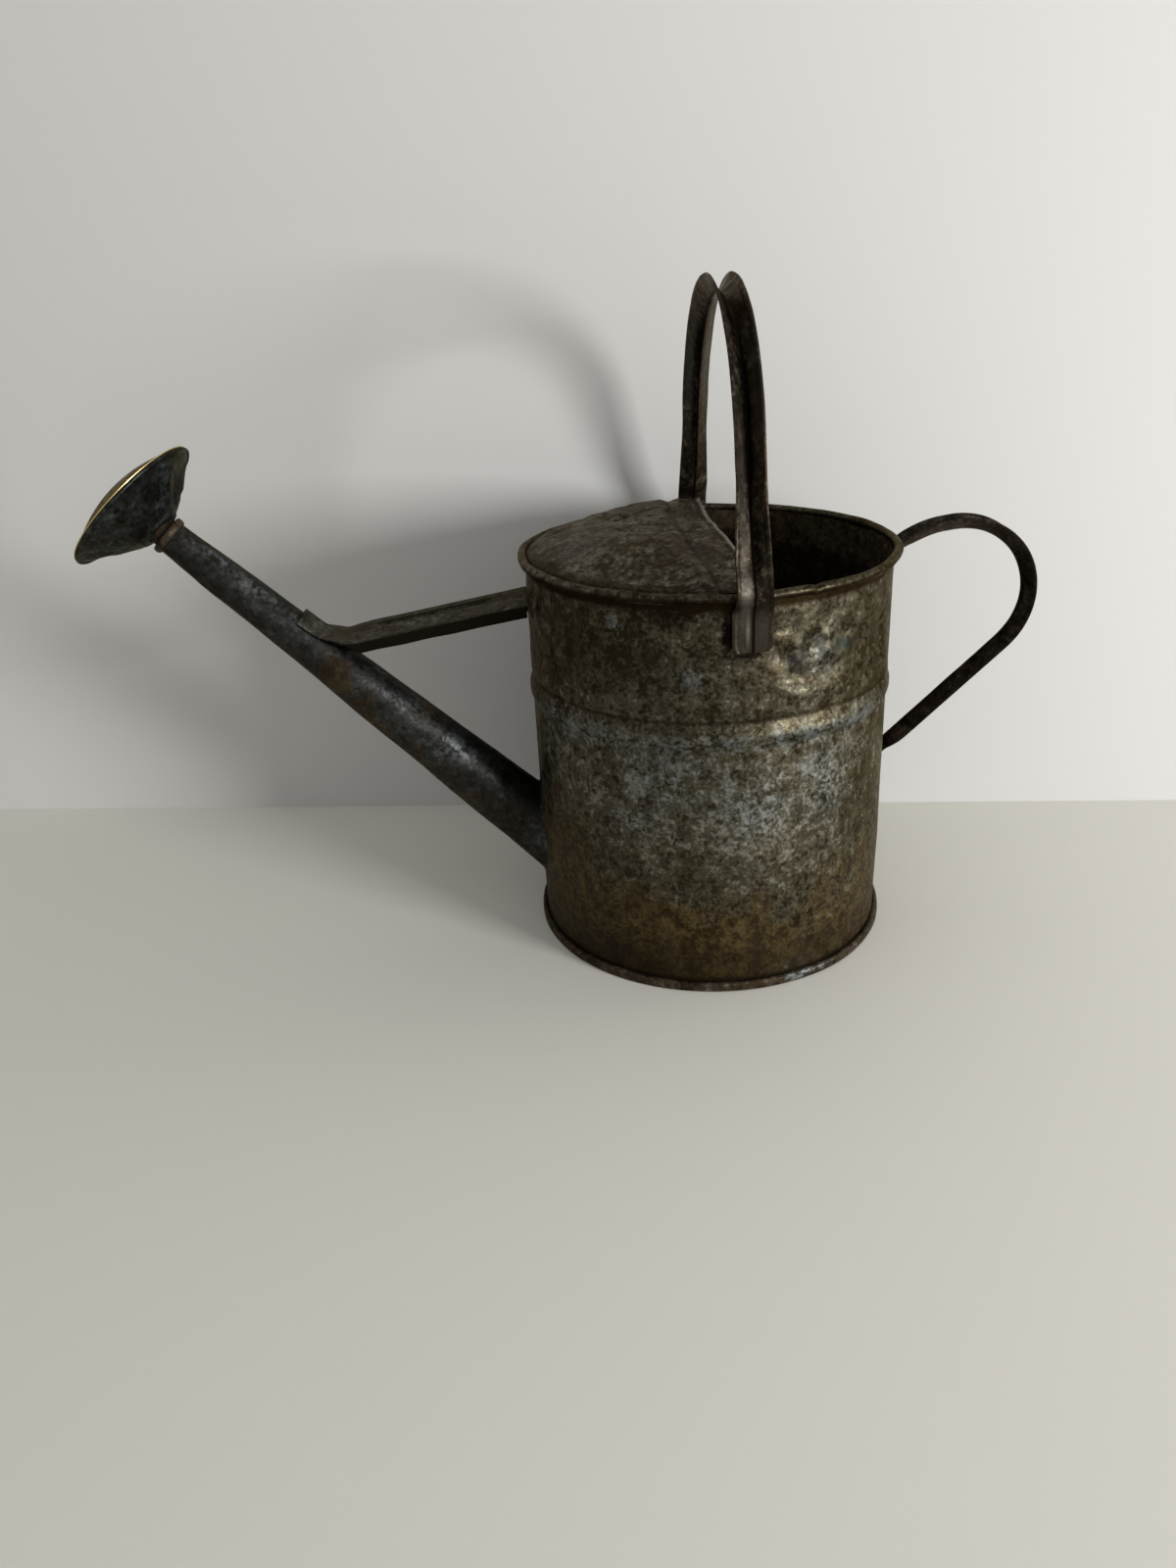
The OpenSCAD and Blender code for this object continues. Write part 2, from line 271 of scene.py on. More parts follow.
def weathered(name, ownLook):
    # old galvanised sheet: patina, flakes, white bloom, rust and dirt, each from its own noise, with
    # painted shade and painted highlights in named places
    look = {**plainSheet, **ownLook}
    mat = bpy.data.materials.new(name)
    mat.use_nodes = True
    tree = mat.node_tree
    tree.nodes.clear()
    where = node(tree, "ShaderNodeTexCoord").outputs["Object"]
    axes = node(tree, "ShaderNodeSeparateXYZ", {0: where}).outputs
    height = axes[2]
    seed = vectorCalc(tree, "ADD", where, look["shift"])[0]

    broad = grain(tree, seed, look["broadScale"], 6, 0.6, distortion=0.2)
    patches = grain(tree, seed, look["patchScale"], 9, 0.74)
    fine = grain(tree, seed, look["fineScale"], 4, 0.66)
    streak = grain(tree, seed, look["streakScale"], 6, 0.65, squeeze=look["streakAlong"])
    streaky = minus(tree, streak, 0.5)
    tone = weighed(tree, (broad, 0.2), (patches, 0.44), (fine, 0.36), (streaky, look["streaky"]))
    # some heights are lighter or darker than the rest: height, reach, amount
    for z0, half, amount in look["toneBands"]:
        tone = plus(tree, tone, spread(tree, offFrom(tree, height, z0), half * mm, 0.0, 0.0, amount))
    low, high = look["toneRange"]
    middle = (low + high) / 2
    colour = blendColour(tree, spread(tree, tone, low, middle), look["dark"], look["mid"])
    colour = blendColour(tree, spread(tree, tone, middle, high), colour, look["light"])

    # flakes of the zinc: each crystal a little lighter or darker, duller or brighter
    cells = node(tree, "ShaderNodeTexVoronoi", {"Vector": seed, "Scale": look["flakeScale"]})
    flake = node(tree, "ShaderNodeSeparateColor", {0: cells.outputs["Color"]}).outputs
    cellTone = spread(tree, flake[0], 0.0, 1.0, 1 - look["flake"], 1 + look["flake"])
    cellGrey = node(tree, "ShaderNodeCombineColor", {0: cellTone, 1: cellTone, 2: cellTone}).outputs[0]
    colour = blendColour(tree, 1.0, colour, cellGrey, "MULTIPLY")

    # white zinc bloom in named places: centre, half sizes, strength
    blooms = [times(tree, patch(tree, where, centre, size), strength)
              for centre, size, strength in look["bloomAt"]]
    if "bloomBand" in look:
        z0, half, strength = look["bloomBand"]
        blooms.append(times(tree, spread(tree, offFrom(tree, height, z0), half * mm, 0.0), strength))
    if blooms:
        cloud = weighed(tree, (grain(tree, seed, look["bloomScale"], 9, 0.75), 0.6), (fine, 0.4))
        bloom = times(tree, gathered(tree, "MAXIMUM", blooms), spread(tree, cloud, 0.44, 0.6), True)
        colour = blendColour(tree, bloom, colour, look["bloom"])

    # rust: everywhere a little, more where named
    rustNoise = weighed(tree, (grain(tree, seed, look["rustScale"], 9, 0.74), 0.62), (streak, 0.38))
    needs = [times(tree, patch(tree, where, centre, size), strength)
             for centre, size, strength in look["rustAt"]]
    if "rustFoot" in look:
        z0, z1, strength = look["rustFoot"]
        needs.append(spread(tree, height, z1 * mm, z0 * mm, 0.0, strength))
    edge = 0.62 - 0.22 * look["rust"]
    if needs:
        edge = minus(tree, edge, times(tree, gathered(tree, "ADD", needs), 0.22))
    rust = spread(tree, minus(tree, rustNoise, edge), 0.0, look["rustSoft"])
    rustTone = spread(tree, weighed(tree, (patches, 0.6), (fine, 0.4)), 0.42, 0.58)
    rustColour = blendColour(tree, rustTone, look["rustDark"], look["rustLight"])
    colour = blendColour(tree, times(tree, rust, look["rustCover"]), colour, rustColour)

    # vertical runs of dirt, dark specks, and stains, painted shade and painted highlights in named places
    colour = blendColour(tree, spread(tree, streak, 0.52, 0.66, 0.0, look["runs"]), colour, look["dirt"])
    pits = spread(tree, grain(tree, seed, look["pitScale"], 5, 0.7), 0.55, 0.63, 0.0, look["pits"])
    colour = blendColour(tree, pits, colour, look["dirt"])
    for centre, size, strength, tint in look["stainsAndPaintedLightAt"]:
        soft = times(tree, patch(tree, where, centre, size), strength)
        ragged = times(tree, soft, spread(tree, tone, 0.4, 0.56, 1.0, 0.45), True)
        colour = blendColour(tree, ragged, colour, tint)
    # dirt and painted shade along a fold: axis, place, half width, strength
    for axis, place, half, strength in look["foldShadeAndDirt"]:
        foldDark = spread(tree, offFrom(tree, axes[axis], place), half * mm, half * 0.25 * mm, 0.0, strength)
        colour = blendColour(tree, foldDark, colour, look.get("foldTint", look["dirt"]))
    # dark or bright lines that follow a circle: centre x and y, radius, half width, strength, colour
    for cx, cy, radius, half, strength, tint in look["ringLines"]:
        flat = vectorCalc(tree, "SUBTRACT", where, (cx * mm, cy * mm, 0))[0]
        far = vectorCalc(tree, "LENGTH", vectorCalc(tree, "MULTIPLY", flat, (1, 1, 0))[0])["Value"]
        line = spread(tree, offFrom(tree, far, radius), half * mm, half * 0.3 * mm, 0.0, strength)
        line = times(tree, line, spread(tree, tone, 0.36, 0.56, 1.0, 0.6), True)
        colour = blendColour(tree, line, colour, tint)
    if "edgeGlint" in look:
        # a painted glint: a bright line close to a plane: point, direction, height above it, colour
        point, way, tall, tint = look["edgeGlint"]
        fromPoint = vectorCalc(tree, "SUBTRACT", where, tuple(c * mm for c in point))[0]
        over = vectorCalc(tree, "DOT_PRODUCT", fromPoint, tuple(way))["Value"]
        colour = blendColour(tree, spread(tree, over, tall * mm, tall * 0.5 * mm), colour, tint)

    metal = times(tree, spread(tree, rust, 0.0, 1.0, 1.0, 0.35), look["metal"])
    sheen = plus(tree, spread(tree, patches, 0.35, 0.65, *look["roughness"]), times(tree, rust, 0.15))
    sheen = plus(tree, sheen, spread(tree, flake[1], 0, 1, -0.09, 0.09))
    relief = weighed(tree, (patches, 0.9), (fine, 0.35), (flake[2], look["flakeBump"]), (rust, 0.2))
    bump = node(tree, "ShaderNodeBump", {"Height": relief, "Strength": look["bump"],
                                         "Distance": look["bumpDeep"]})
    shader = node(tree, "ShaderNodeBsdfPrincipled",
                  {"Base Color": colour, "Metallic": metal, "Roughness": sheen, "Normal": bump.outputs[0],
                   "Specular IOR Level": look["gloss"], "Specular Tint": look["edgeTint"]})
    out = node(tree, "ShaderNodeOutputMaterial")
    tree.links.new(shader.outputs[0], out.inputs[0])
    return mat


# the can's own sizes, as in the construction
can = {
    "wall": 110.0, "sheet": 0.65, "rim": 244.2, "bead": 2.7,
    "swage": 164.0, "swageOut": 1.7,
}
wallIn = can["wall"] - can["sheet"]
beadAt = wallIn + can["bead"]

spout = {
    "tip": (-318.0, 0.0, 271.3), "angle": 44.75, "tipRadius": 9.75, "taper": 0.0405, "sheet": 0.65,
}
tip = np.array(spout["tip"])
spoutOut = np.array([-math.cos(math.radians(spout["angle"])), 0, math.sin(math.radians(spout["angle"]))])
spoutUp = np.array([spoutOut[2], 0, -spoutOut[0]])
sideways = np.array([0.0, 1.0, 0.0])


def spoutRadius(down):
    # the cone's outside radius this far down from its tip
    return spout["tipRadius"] + spout["taper"] * down


def spoutRadial(turn):
    # direction out from the spout's line; turn 0 is the upper side
    return spoutUp * math.cos(turn) + sideways * math.sin(turn)


def onWall(angleDeg, z, radius=110.0):
    a = math.radians(angleDeg)
    return (radius * math.cos(a), radius * math.sin(a), z)


# can wall
wall = {
    "turns": 384,
    # dents: angle round the can, height, half width round, half height, depth (minus is outward)
    "dents": [
        (-83, 222, 10, 10, 2.4), (-75, 224, 9, 9, 2.2), (-77, 210, 9, 8, 2.6), (-67, 211, 9, 9, 3.0),
        (-56, 214, 10, 10, 2.8), (-61, 226, 10, 8, 1.8), (-62, 196, 12, 9, 2.4), (-72, 196, 10, 8, 2.0),
        (-49, 203, 8, 12, 2.0), (-46, 186, 10, 8, 1.8), (-59, 177, 9, 6, 1.2),
        (-71, 186, 9, 8, -1.2), (-31, 188, 12, 12, -1.6), (-38, 206, 9, 14, 1.8), (-26, 176, 10, 9, -1.4),
        (-118, 214, 20, 14, 1.1), (-148, 218, 16, 16, 1.2), (-140, 96, 24, 20, 0.9), (-96, 60, 26, 18, 0.8),
        (60, 190, 18, 16, 1.6), (95, 120, 24, 22, 1.4), (150, 205, 16, 18, 1.5), (20, 120, 18, 24, 1.0),
        (128, 60, 22, 16, 1.1), (-178, 200, 10, 14, 0.8),
    ],
    "crumple": 0.55,
    "wander": 0.5,
    "oval": 0.35,
    "knock": (-64, 206, 28, 30),              # crumpled part: angle, height, half angle, half height
    "knockMore": 3.6,                         # how much more it is crumpled than the rest
    "crumpleRest": 0.35,
    "rim": {"inOut": 0.55, "upDown": 0.6, "small": 0.25},
    "nick": (-68, 2.5, 0.9),                  # cut in the rim: angle, half angle, depth
    "groove": (9.5, 2.2, 0.7),                # over the raised band: height, half width, depth
    "seam": {"half": 3.4, "out": 0.25, "in": 1.1},
    "insideTo": 242.5,                        # the inside's look ends below the curl
}


def degreesFrom(deg, at):
    return np.mod(deg - at + 180, 360) - 180


def wallShift(angle, z):
    # how far the old sheet stands off a true cylinder
    deg = np.degrees(angle)
    ring = np.stack([110 * np.cos(angle), 110 * np.sin(angle), z * np.ones_like(angle)], -1)
    shift = wall["wander"] * rough(ring, 62, 3, 2) + wall["oval"] * np.cos(2 * angle - 0.7)
    for n, (at, up, wide, tall, deep) in enumerate(wall["dents"]):
        u = degreesFrom(deg, at) * math.pi / 180 * 110 / wide
        v = (z - up) / tall
        # small knocks are flat-sided, the broad ones round
        a = 0.5 + 1.1 * n
        sides = [np.abs(u * math.cos(a + k * 2.1) + v * math.sin(a + k * 2.1)) for k in range(3)]
        r = np.maximum.reduce(sides) * 1.05 if wide < 13 else np.sqrt(u ** 2 + v ** 2)
        shift = shift - deep * np.clip(1.15 - r, 0, 0.85)
    at, up, wide, tall = wall["knock"]
    knock = ease(1 - np.hypot(degreesFrom(deg, at) / wide, (z - up) / tall))
    shift = shift + knock * wall["crumple"] * wall["knockMore"] * rough(ring, 16, 11, 3, sharp=True)
    shift = shift + wall["crumple"] * wall["crumpleRest"] * rough(ring, 24, 21, 2, sharp=True)
    return shift * ease((z - 3) / 16)


def rimShift(angle):
    # the battered rim: small in-and-out and up-and-down steps
    ring = np.stack([110 * np.cos(angle), 110 * np.sin(angle), 0 * angle], -1)
    rim = wall["rim"]
    inOut = rim["inOut"] * rough(ring, 26, 31, 2)
    upDown = rim["upDown"] * rough(ring, 38, 41, 2) + rim["small"] * rough(ring, 9, 45, 1, sharp=True)
    at, half, deep = wall["nick"]
    nick = ease(1 - np.abs(degreesFrom(np.degrees(angle), at)) / half)
    return inOut, upDown - deep * nick


def swell(z):
    d = np.abs(z - can["swage"])
    over, half, deep = wall["groove"]
    groove = np.clip(1 - np.abs(z - can["swage"] - over) / half, 0, 1)
    return can["swageOut"] * (1 - ease((d - 1) / 6)) - deep * groove


def wallPaths(angle):
    # two matching lines up the wall and round the curl: outside of the wall, inside of the wall
    rows = np.concatenate([np.linspace(0.75, 150, 26, endpoint=False),
                           np.linspace(150, 178, 18, endpoint=False),
                           np.linspace(178, 234, 38, endpoint=False), np.linspace(234, can["rim"], 9)])
    shift = wallShift(np.full(rows.shape, angle), rows) + swell(rows)
    nearRim = ease((rows - 226) / 18)
    inOut, upDown = rimShift(np.array(angle))
    shift = shift * (1 - nearRim) + nearRim * inOut
    lift = nearRim * upDown
    seam = math.exp(-((np.mod(angle + math.pi, 2 * math.pi) - math.pi) * 110 / wall["seam"]["half"]) ** 6)
    seam = seam * ease((rows - 5) / 2) * (1 - ease((rows - 238) / 3))
    turn = np.radians(np.linspace(180, -120, 20))[1:]
    tight = can["bead"] - can["sheet"]
    across, up = beadAt + inOut, can["rim"] + upDown      # middle of the curl
    outward, inward = wall["seam"]["out"] * seam, wall["seam"]["in"] * seam
    a = np.stack([np.concatenate([can["wall"] + shift + outward, across + tight * np.cos(turn)]),
                  np.concatenate([rows + lift, up + tight * np.sin(turn)])], -1)
    b = np.stack([np.concatenate([wallIn + shift - inward, across + can["bead"] * np.cos(turn)]),
                  np.concatenate([rows + lift, up + can["bead"] * np.sin(turn)])], -1)
    return a, b


def buildWall(material, shadedInsideMaterial):
    angles = np.linspace(0, 2 * math.pi, wall["turns"], endpoint=False)
    outer, inner = [], []
    for angle in angles:
        a, b = wallPaths(angle)
        c, s = math.cos(angle), math.sin(angle)
        outer.append(np.stack([a[:, 0] * c, a[:, 0] * s, a[:, 1]], -1))
        inner.append(np.stack([b[:, 0] * c, b[:, 0] * s, b[:, 1]], -1))
    outer, inner = np.array(outer), np.array(inner)
    centre = (outer[:, :-1] + np.roll(outer, -1, 0)[:, 1:]) / 2
    rel = centre - tip
    down = -(rel @ spoutOut)
    off = np.linalg.norm(rel + down[..., None] * spoutOut, axis=-1)
    hole = (off < spoutRadius(down) - 2.2) & (centre[..., 0] < 0)     # the spout's root covers the cut
    verts, faces = stitched(outer, inner, True, ~hole)
    obj = makePiece("canWall", verts, faces, material, "can", "can_sheet", ["body_wall"])
    # the inside takes a rusty look that is darkened as painted shade
    obj.data.materials.append(shadedInsideMaterial)
    for face in obj.data.polygons:
        c, n = face.center, face.normal
        if c.z < wall["insideTo"] * mm and c.x * n.x + c.y * n.y < -0.02:
            face.material_index = 1
    return obj


canLook = {
    "dark": (0.02, 0.0155, 0.0075), "mid": (0.068, 0.061, 0.041), "light": (0.19, 0.182, 0.15),
    "bloom": (0.25, 0.29, 0.31), "bloomBand": (160.5, 8, 0.62),
    "bloomAt": [(onWall(-112, 138), (46, 46, 30), 0.5), (onWall(-86, 122), (34, 40, 34), 0.5),
                (onWall(-62, 128), (30, 34, 34), 0.65), (onWall(-70, 11), (28, 28, 8), 0.9),
                (onWall(-120, 120), (30, 30, 26), 0.4), (onWall(-66, 205), (20, 26, 22), 0.25),
                (onWall(-126, 226), (8, 8, 14), 0.7), (onWall(-102, 200), (12, 12, 9), 0.5),
                (onWall(40, 130), (50, 50, 30), 0.5), (onWall(120, 150), (50, 50, 26), 0.5),
                (onWall(-150, 160), (30, 30, 14), 0.6)],
    "rust": 0.3, "rustFoot": (0, 115, 1.1), "rustCover": 0.92,
    "rustLight": (0.066, 0.046, 0.015), "rustDark": (0.016, 0.0085, 0.002),
    "patchScale": 110, "fineScale": 420, "toneRange": (0.405, 0.615), "streaky": 0.2,
    "toneBands": [(122, 70, 0.028), (215, 60, -0.022), (35, 55, -0.02)],
    "rustAt": [(onWall(-158, 60), (50, 70, 90), 0.9), (onWall(-115, 30), (50, 50, 45), 0.7),
               (onWall(-160, 205), (50, 50, 60), 0.5)],
    "stainsAndPaintedLightAt": [(onWall(-140, 214), (60, 60, 40), 0.55, (0.02, 0.015, 0.008)),
                (onWall(-73, 206), (9, 9, 6), 1.9, (0.03, 0.027, 0.025)),
                (onWall(-55, 208.5), (15, 15, 5), 1.9, (0.028, 0.031, 0.025)),
                (onWall(-102.6, 114.2), (4, 4, 4), 0.9, (0.012, 0.009, 0.006)),
                (onWall(-122, 12), (60, 60, 30), 0.9, (0.009, 0.0045, 0.001)),
                # painted shadow beside the handle's near end and painted shade along its lower edge; a
                # darker band under the rim
                 ((-5.2, -110, 228), (5.6, 12, 24), 2.6, (0.003, 0.002, 0.0015)),
                 ((6, -110, 212.4), (16, 8, 3.8), 1.8, (0.006, 0.0045, 0.003)),
                 (onWall(-105, 237), (44, 22, 13), 1.6, (0.011, 0.0078, 0.0042)),
                ((7.5, 110, 225), (19, 9, 21), 1.0, (0.009, 0.0065, 0.004)),
                (onWall(-116, 208), (26, 26, 24), 0.5, (0.022, 0.016, 0.009)),
                (onWall(-104, 84), (7, 7, 22), 0.7, (0.03, 0.018, 0.005)),
                (onWall(-122, 70), (10, 10, 26), 0.7, (0.028, 0.016, 0.004))],
    # dark lines under the rim's bead and on its face, painted shade with dirt; painted shade in the swage's
    # groove; a dark line at the foot seam and darker towards the bottom
    "foldShadeAndDirt": [(2, 239.4, 4.0, 0.95), (2, 243.3, 2.2, 0.8), (2, 173.4, 1.8, 0.6), (2, 6.6, 2.2, 0.9),
                 (2, 2, 42, 0.55)],
    "foldTint": (0.01, 0.006, 0.0025),
    "metal": 0.92, "roughness": (0.33, 0.52), "bump": 0.6, "runs": 0.5, "pits": 0.8,
}
# inside of the can: rust, darkened as painted shade, with painted light near the top where light falls in
shadedInsideLook = {
    "dark": (0.003, 0.0015, 0.001), "mid": (0.011, 0.0075, 0.004), "light": (0.042, 0.031, 0.018),
    "rust": 0.4, "rustLight": (0.028, 0.016, 0.006), "rustDark": (0.006, 0.0025, 0.001),
    "toneBands": [(234, 28, 0.07)], "metal": 0.1, "roughness": (0.6, 0.85), "shift": (0.4, 0.4, 0.9)}
canSheet = weathered("weatheredCanSheet", canLook)
buildWall(canSheet, weathered("rustyShadedInside", shadedInsideLook))


# rim wire, lost inside the curl but for its cut end
def wirePlace(angle, profile):
    inOut, upDown = rimShift(np.array(angle))
    r = beadAt + inOut + profile[:, 0]
    return np.stack([r * math.cos(angle), r * math.sin(angle), can["rim"] + upDown + profile[:, 1]], -1)


wire = {"radius": 1.95, "turns": 240, "sides": 10}
sideAngles = np.radians(np.linspace(0, 360, wire["sides"], endpoint=False))
wireProfile = wire["radius"] * np.stack([np.cos(sideAngles), np.sin(sideAngles)], -1)
wireRust = weathered("rustyWire", {
    "dark": (0.03, 0.018, 0.01), "mid": (0.07, 0.045, 0.028), "light": (0.11, 0.08, 0.06), "rust": 0.7,
    "metal": 0.4, "roughness": (0.5, 0.75)})
makePiece("rimWire", *ringGrid(wireProfile, wire["turns"], wirePlace), wireRust,
          "can", "wire", ["rim_wire"])


# base: recessed disc and folded foot seam
footSeam = {"turns": 300, "wander": 0.22, "lift": 0.3}
footProfile = np.array([
    (40, 3.3), (80, 3.3), (wallIn - 1.6, 3.3), (wallIn - 0.95, 3.0), (wallIn - 0.75, 2.4),
    (wallIn - 0.75, 0.8), (wallIn - 0.5, 0.2), (wallIn + 0.1, 0), (111.5, 0), (112.6, 0.1), (113.3, 0.55),
    (113.7, 1.3), (113.8, 2.4), (113.8, 3.8), (113.6, 4.8), (113.1, 5.6), (112.3, 6.0), (111.2, 6.0),
    (110.5, 5.8), (110.1, 5.3), (110.05, 3.0), (110.05, 0.75), (wallIn - 0.05, 0.75), (wallIn - 0.05, 3.4),
    (wallIn - 0.5, 4.0), (80, 4.0), (40, 4.0)])


def footPlace(angle, profile):
    ring = np.array([[110 * math.cos(angle), 110 * math.sin(angle), 0]])
    swing = float(rough(ring, 30, 51, 2)[0])
    out = ease((profile[:, 0] - 110.2) / 2)
    lift = footSeam["lift"] * float(rough(ring, 22, 57, 2)[0])
    r = profile[:, 0] + out * footSeam["wander"] * (swing - 1)
    z = profile[:, 1] + ease((profile[:, 1] - 2) / 3) * out * lift
    return np.stack([r * math.cos(angle), r * math.sin(angle), z], -1)


def buildBase(material):
    verts, faces = ringGrid(footProfile, footSeam["turns"], footPlace)
    # the ring's first and last profile points border the middle of the disc
    k, turns = len(footProfile), footSeam["turns"]
    faces = [f for n, f in enumerate(faces) if n % k != k - 1]
    low, high = len(verts), len(verts) + 1
    verts = np.concatenate([verts, [[0, 0, 3.3], [0, 0, 4.0]]])
    for i in range(turns):
        j = (i + 1) % turns
        faces.append((low, j * k, i * k))
        faces.append((high, i * k + k - 1, j * k + k - 1))
    return makePiece("canBase", verts, faces, material, "can", "base_sheet", ["base_plate"])


baseLook = {
    "dark": (0.018, 0.011, 0.006), "mid": (0.045, 0.034, 0.021), "light": (0.1, 0.088, 0.068),
    "rust": 0.5, "rustLight": (0.055, 0.034, 0.014), "rustDark": (0.018, 0.009, 0.004),
    "bloomAt": [(onWall(-68, 4), (28, 28, 10), 0.7)], "metal": 0.6, "roughness": (0.4, 0.65)}
buildBase(weathered("rustyBaseSheet", baseLook))


# hood: half of a flat-topped dome inside the rim, hemmed along its open edge
hood = {
    "rise": 15.5, "edge": 2.0, "edgeCurve": 594.0, "hem": 4.0, "across": 190, "along": 84, "sheet": 0.6,
    "wander": 1.2, "crumple": 1.5,
    "reach": 83.6,                            # half angle of the open edge's ends
    "bend": (20.5, 6, 2.2),                   # fold along the edge: distance from it, half width, depth
    "dip": (-58, -8, 18, 26, 1.0),            # x, y, half sizes, depth
    # crumples near the top, each from one point to another, their half width and depth
    "creases": [(-54, 18, -40, 31), (-40, 31, -25, 39), (-52, -14, -42, 3), (-42, 3, -35, -3),
                (-35, -3, -25, -14)],
    "creaseHalf": 5, "creaseDeep": 2.3,
}
hoodRadius = wallIn - 0.05


def fromLine(x, y, x0, y0, x1, y1):
    # distance from a straight line between two points
    dx, dy = x1 - x0, y1 - y0
    t = np.clip(((x - x0) * dx + (y - y0) * dy) / (dx * dx + dy * dy), 0, 1)
    return np.hypot(x - x0 - t * dx, y - y0 - t * dy)


def hoodHeight(x, y):
    r = np.hypot(x, y)
    z = can["rim"] + 1.3 + hood["rise"] * (1 - np.clip(r / hoodRadius, 0, 1) ** 3.7)
    p = np.stack([x, y, 0 * x], -1)
    inside = ease((hoodRadius - r) / 12)
    toEdge = np.hypot(x - hood["edge"] - hood["edgeCurve"], y) - hood["edgeCurve"]
    away, half, deep = hood["bend"]
    z = z - inside * deep * np.clip(1 - np.abs(toEdge - away) / half, 0, 1)
    pressed = np.maximum.reduce([np.clip(1 - fromLine(x, y, *ends) / hood["creaseHalf"], 0, 1)
                                 for ends in hood["creases"]])
    z = z - inside * hood["creaseDeep"] * pressed
    dipX, dipY, halfX, halfY, deep = hood["dip"]
    z = z - deep * np.clip(1 - np.hypot((x - dipX) / halfX, (y - dipY) / halfY), 0, 1)
    uneven = hood["wander"] * rough(p, 34, 61, 2) + hood["crumple"] * rough(p, 19, 67, 3, sharp=True)
    z = z + inside * uneven
    hemUp = ease((hood["hem"] - toEdge) / 0.8 + 0.5)
    return z + 0.45 * hemUp - 0.5 * (1 - ease((toEdge + 0.2) / 0.9))


def buildHood(material):
    # rows run from the rim at the spout side straight back to the open edge
    side = np.linspace(-1, 1, hood["across"])
    y = hoodRadius * np.sin(side * math.radians(hood["reach"]))
    front = -np.sqrt(np.maximum(hoodRadius ** 2 - y ** 2, 0))
    back = hood["edge"] + hood["edgeCurve"] - np.sqrt(hood["edgeCurve"] ** 2 - y ** 2)
    top = []
    for k in range(hood["across"]):
        s = np.linspace(0, 1, hood["along"])
        x = front[k] + (back[k] - front[k]) * s
        z = hoodHeight(x, np.full(x.shape, y[k]))
        z[0] = can["rim"] + 0.2
        skirt = np.stack([np.full(3, front[k]), np.full(3, y[k]),
                          can["rim"] + np.array([-4, -2.4, -0.9])], -1)
        top.append(np.concatenate([skirt, np.stack([x, np.full(x.shape, y[k]), z], -1)]))
    verts, faces = sheetGrid(np.array(top), hood["sheet"])
    return makePiece("hood", verts, faces, material, "can", "hood_sheet", ["crown_hood"], 55)


hoodLook = {
    "dark": (0.018, 0.013, 0.008), "mid": (0.058, 0.05, 0.034), "light": (0.15, 0.14, 0.113), "rust": 0.35,
    "bloomAt": [((0, 20, 259), (9, 90, 12), 0.8), ((-80, -40, 252), (24, 30, 12), 0.6),
                ((-24, 66, 259), (30, 10, 9), 0.7)],
    "bloom": (0.19, 0.19, 0.17),
    "rustAt": [((-40, -50, 258), (50, 50, 20), 0.45), ((-10, -60, 258), (30, 40, 20), 0.5)],
    "rustLight": (0.07, 0.048, 0.025), "rustDark": (0.02, 0.011, 0.005), "rustCover": 0.75,
    # the first stain: painted shade in the gap between the dome and the rim at the front left
    "stainsAndPaintedLightAt": [((-100, -40, 247), (20, 40, 6), 0.7, (0.016, 0.011, 0.006)),
                ((-80, -22, 252), (30, 46, 14), 0.8, (0.075, 0.08, 0.076))]
    # painted shade along the crumples near the top
    + [((x, y, 259), (7.5, 4.8, 14), 2.4, (0.009, 0.0068, 0.0045))
       for x, y in ((-50, 21), (-44, 27), (-37, 33), (-30, 37),
                    (-50, -10), (-45, -2), (-39, 0), (-33, -5), (-28, -11))],
    # painted highlight along the hem and painted shade inside it, painted shade in the crease along the
    # edge, and painted shade in the gap between the dome and the rim
    "ringLines": [(596, 0, 595.3, 1.2, 0.9, (0.28, 0.27, 0.235)),
                  (596, 0, 598.0, 1.6, 0.85, (0.01, 0.0075, 0.005)),
                  (596, 0, 614.8, 1.8, 0.75, (0.014, 0.011, 0.007)),
                  (0, 0, 106.0, 5.0, 0.85, (0.014, 0.011, 0.007)),
                  (0, 0, 108.9, 2.6, 1.0, (0.006, 0.0045, 0.003))],
    "patchScale": 120, "toneRange": (0.43, 0.57), "runs": 0.3, "pits": 0.8,
    "metal": 0.82, "roughness": (0.34, 0.54), "bump": 0.8, "shift": (0.3, 0.1, 0)}
buildHood(weathered("dullHoodSheet", hoodLook))


# spout: rolled and lapped cone, its root cut to the wall
spoutShape = {
    "round": 72, "along": 170, "seamTurn": 122, "seamStep": 0.55, "seamHalf": 4.5, "solder": 1.5,
    "wander": 0.42, "crumple": 0.18,
    # dents: distance from the tip, turn, half length, half width, depth
    "dents": [(65, 5.4, 16, 9, 1.3), (200, 4.7, 20, 12, 1.6)],
}


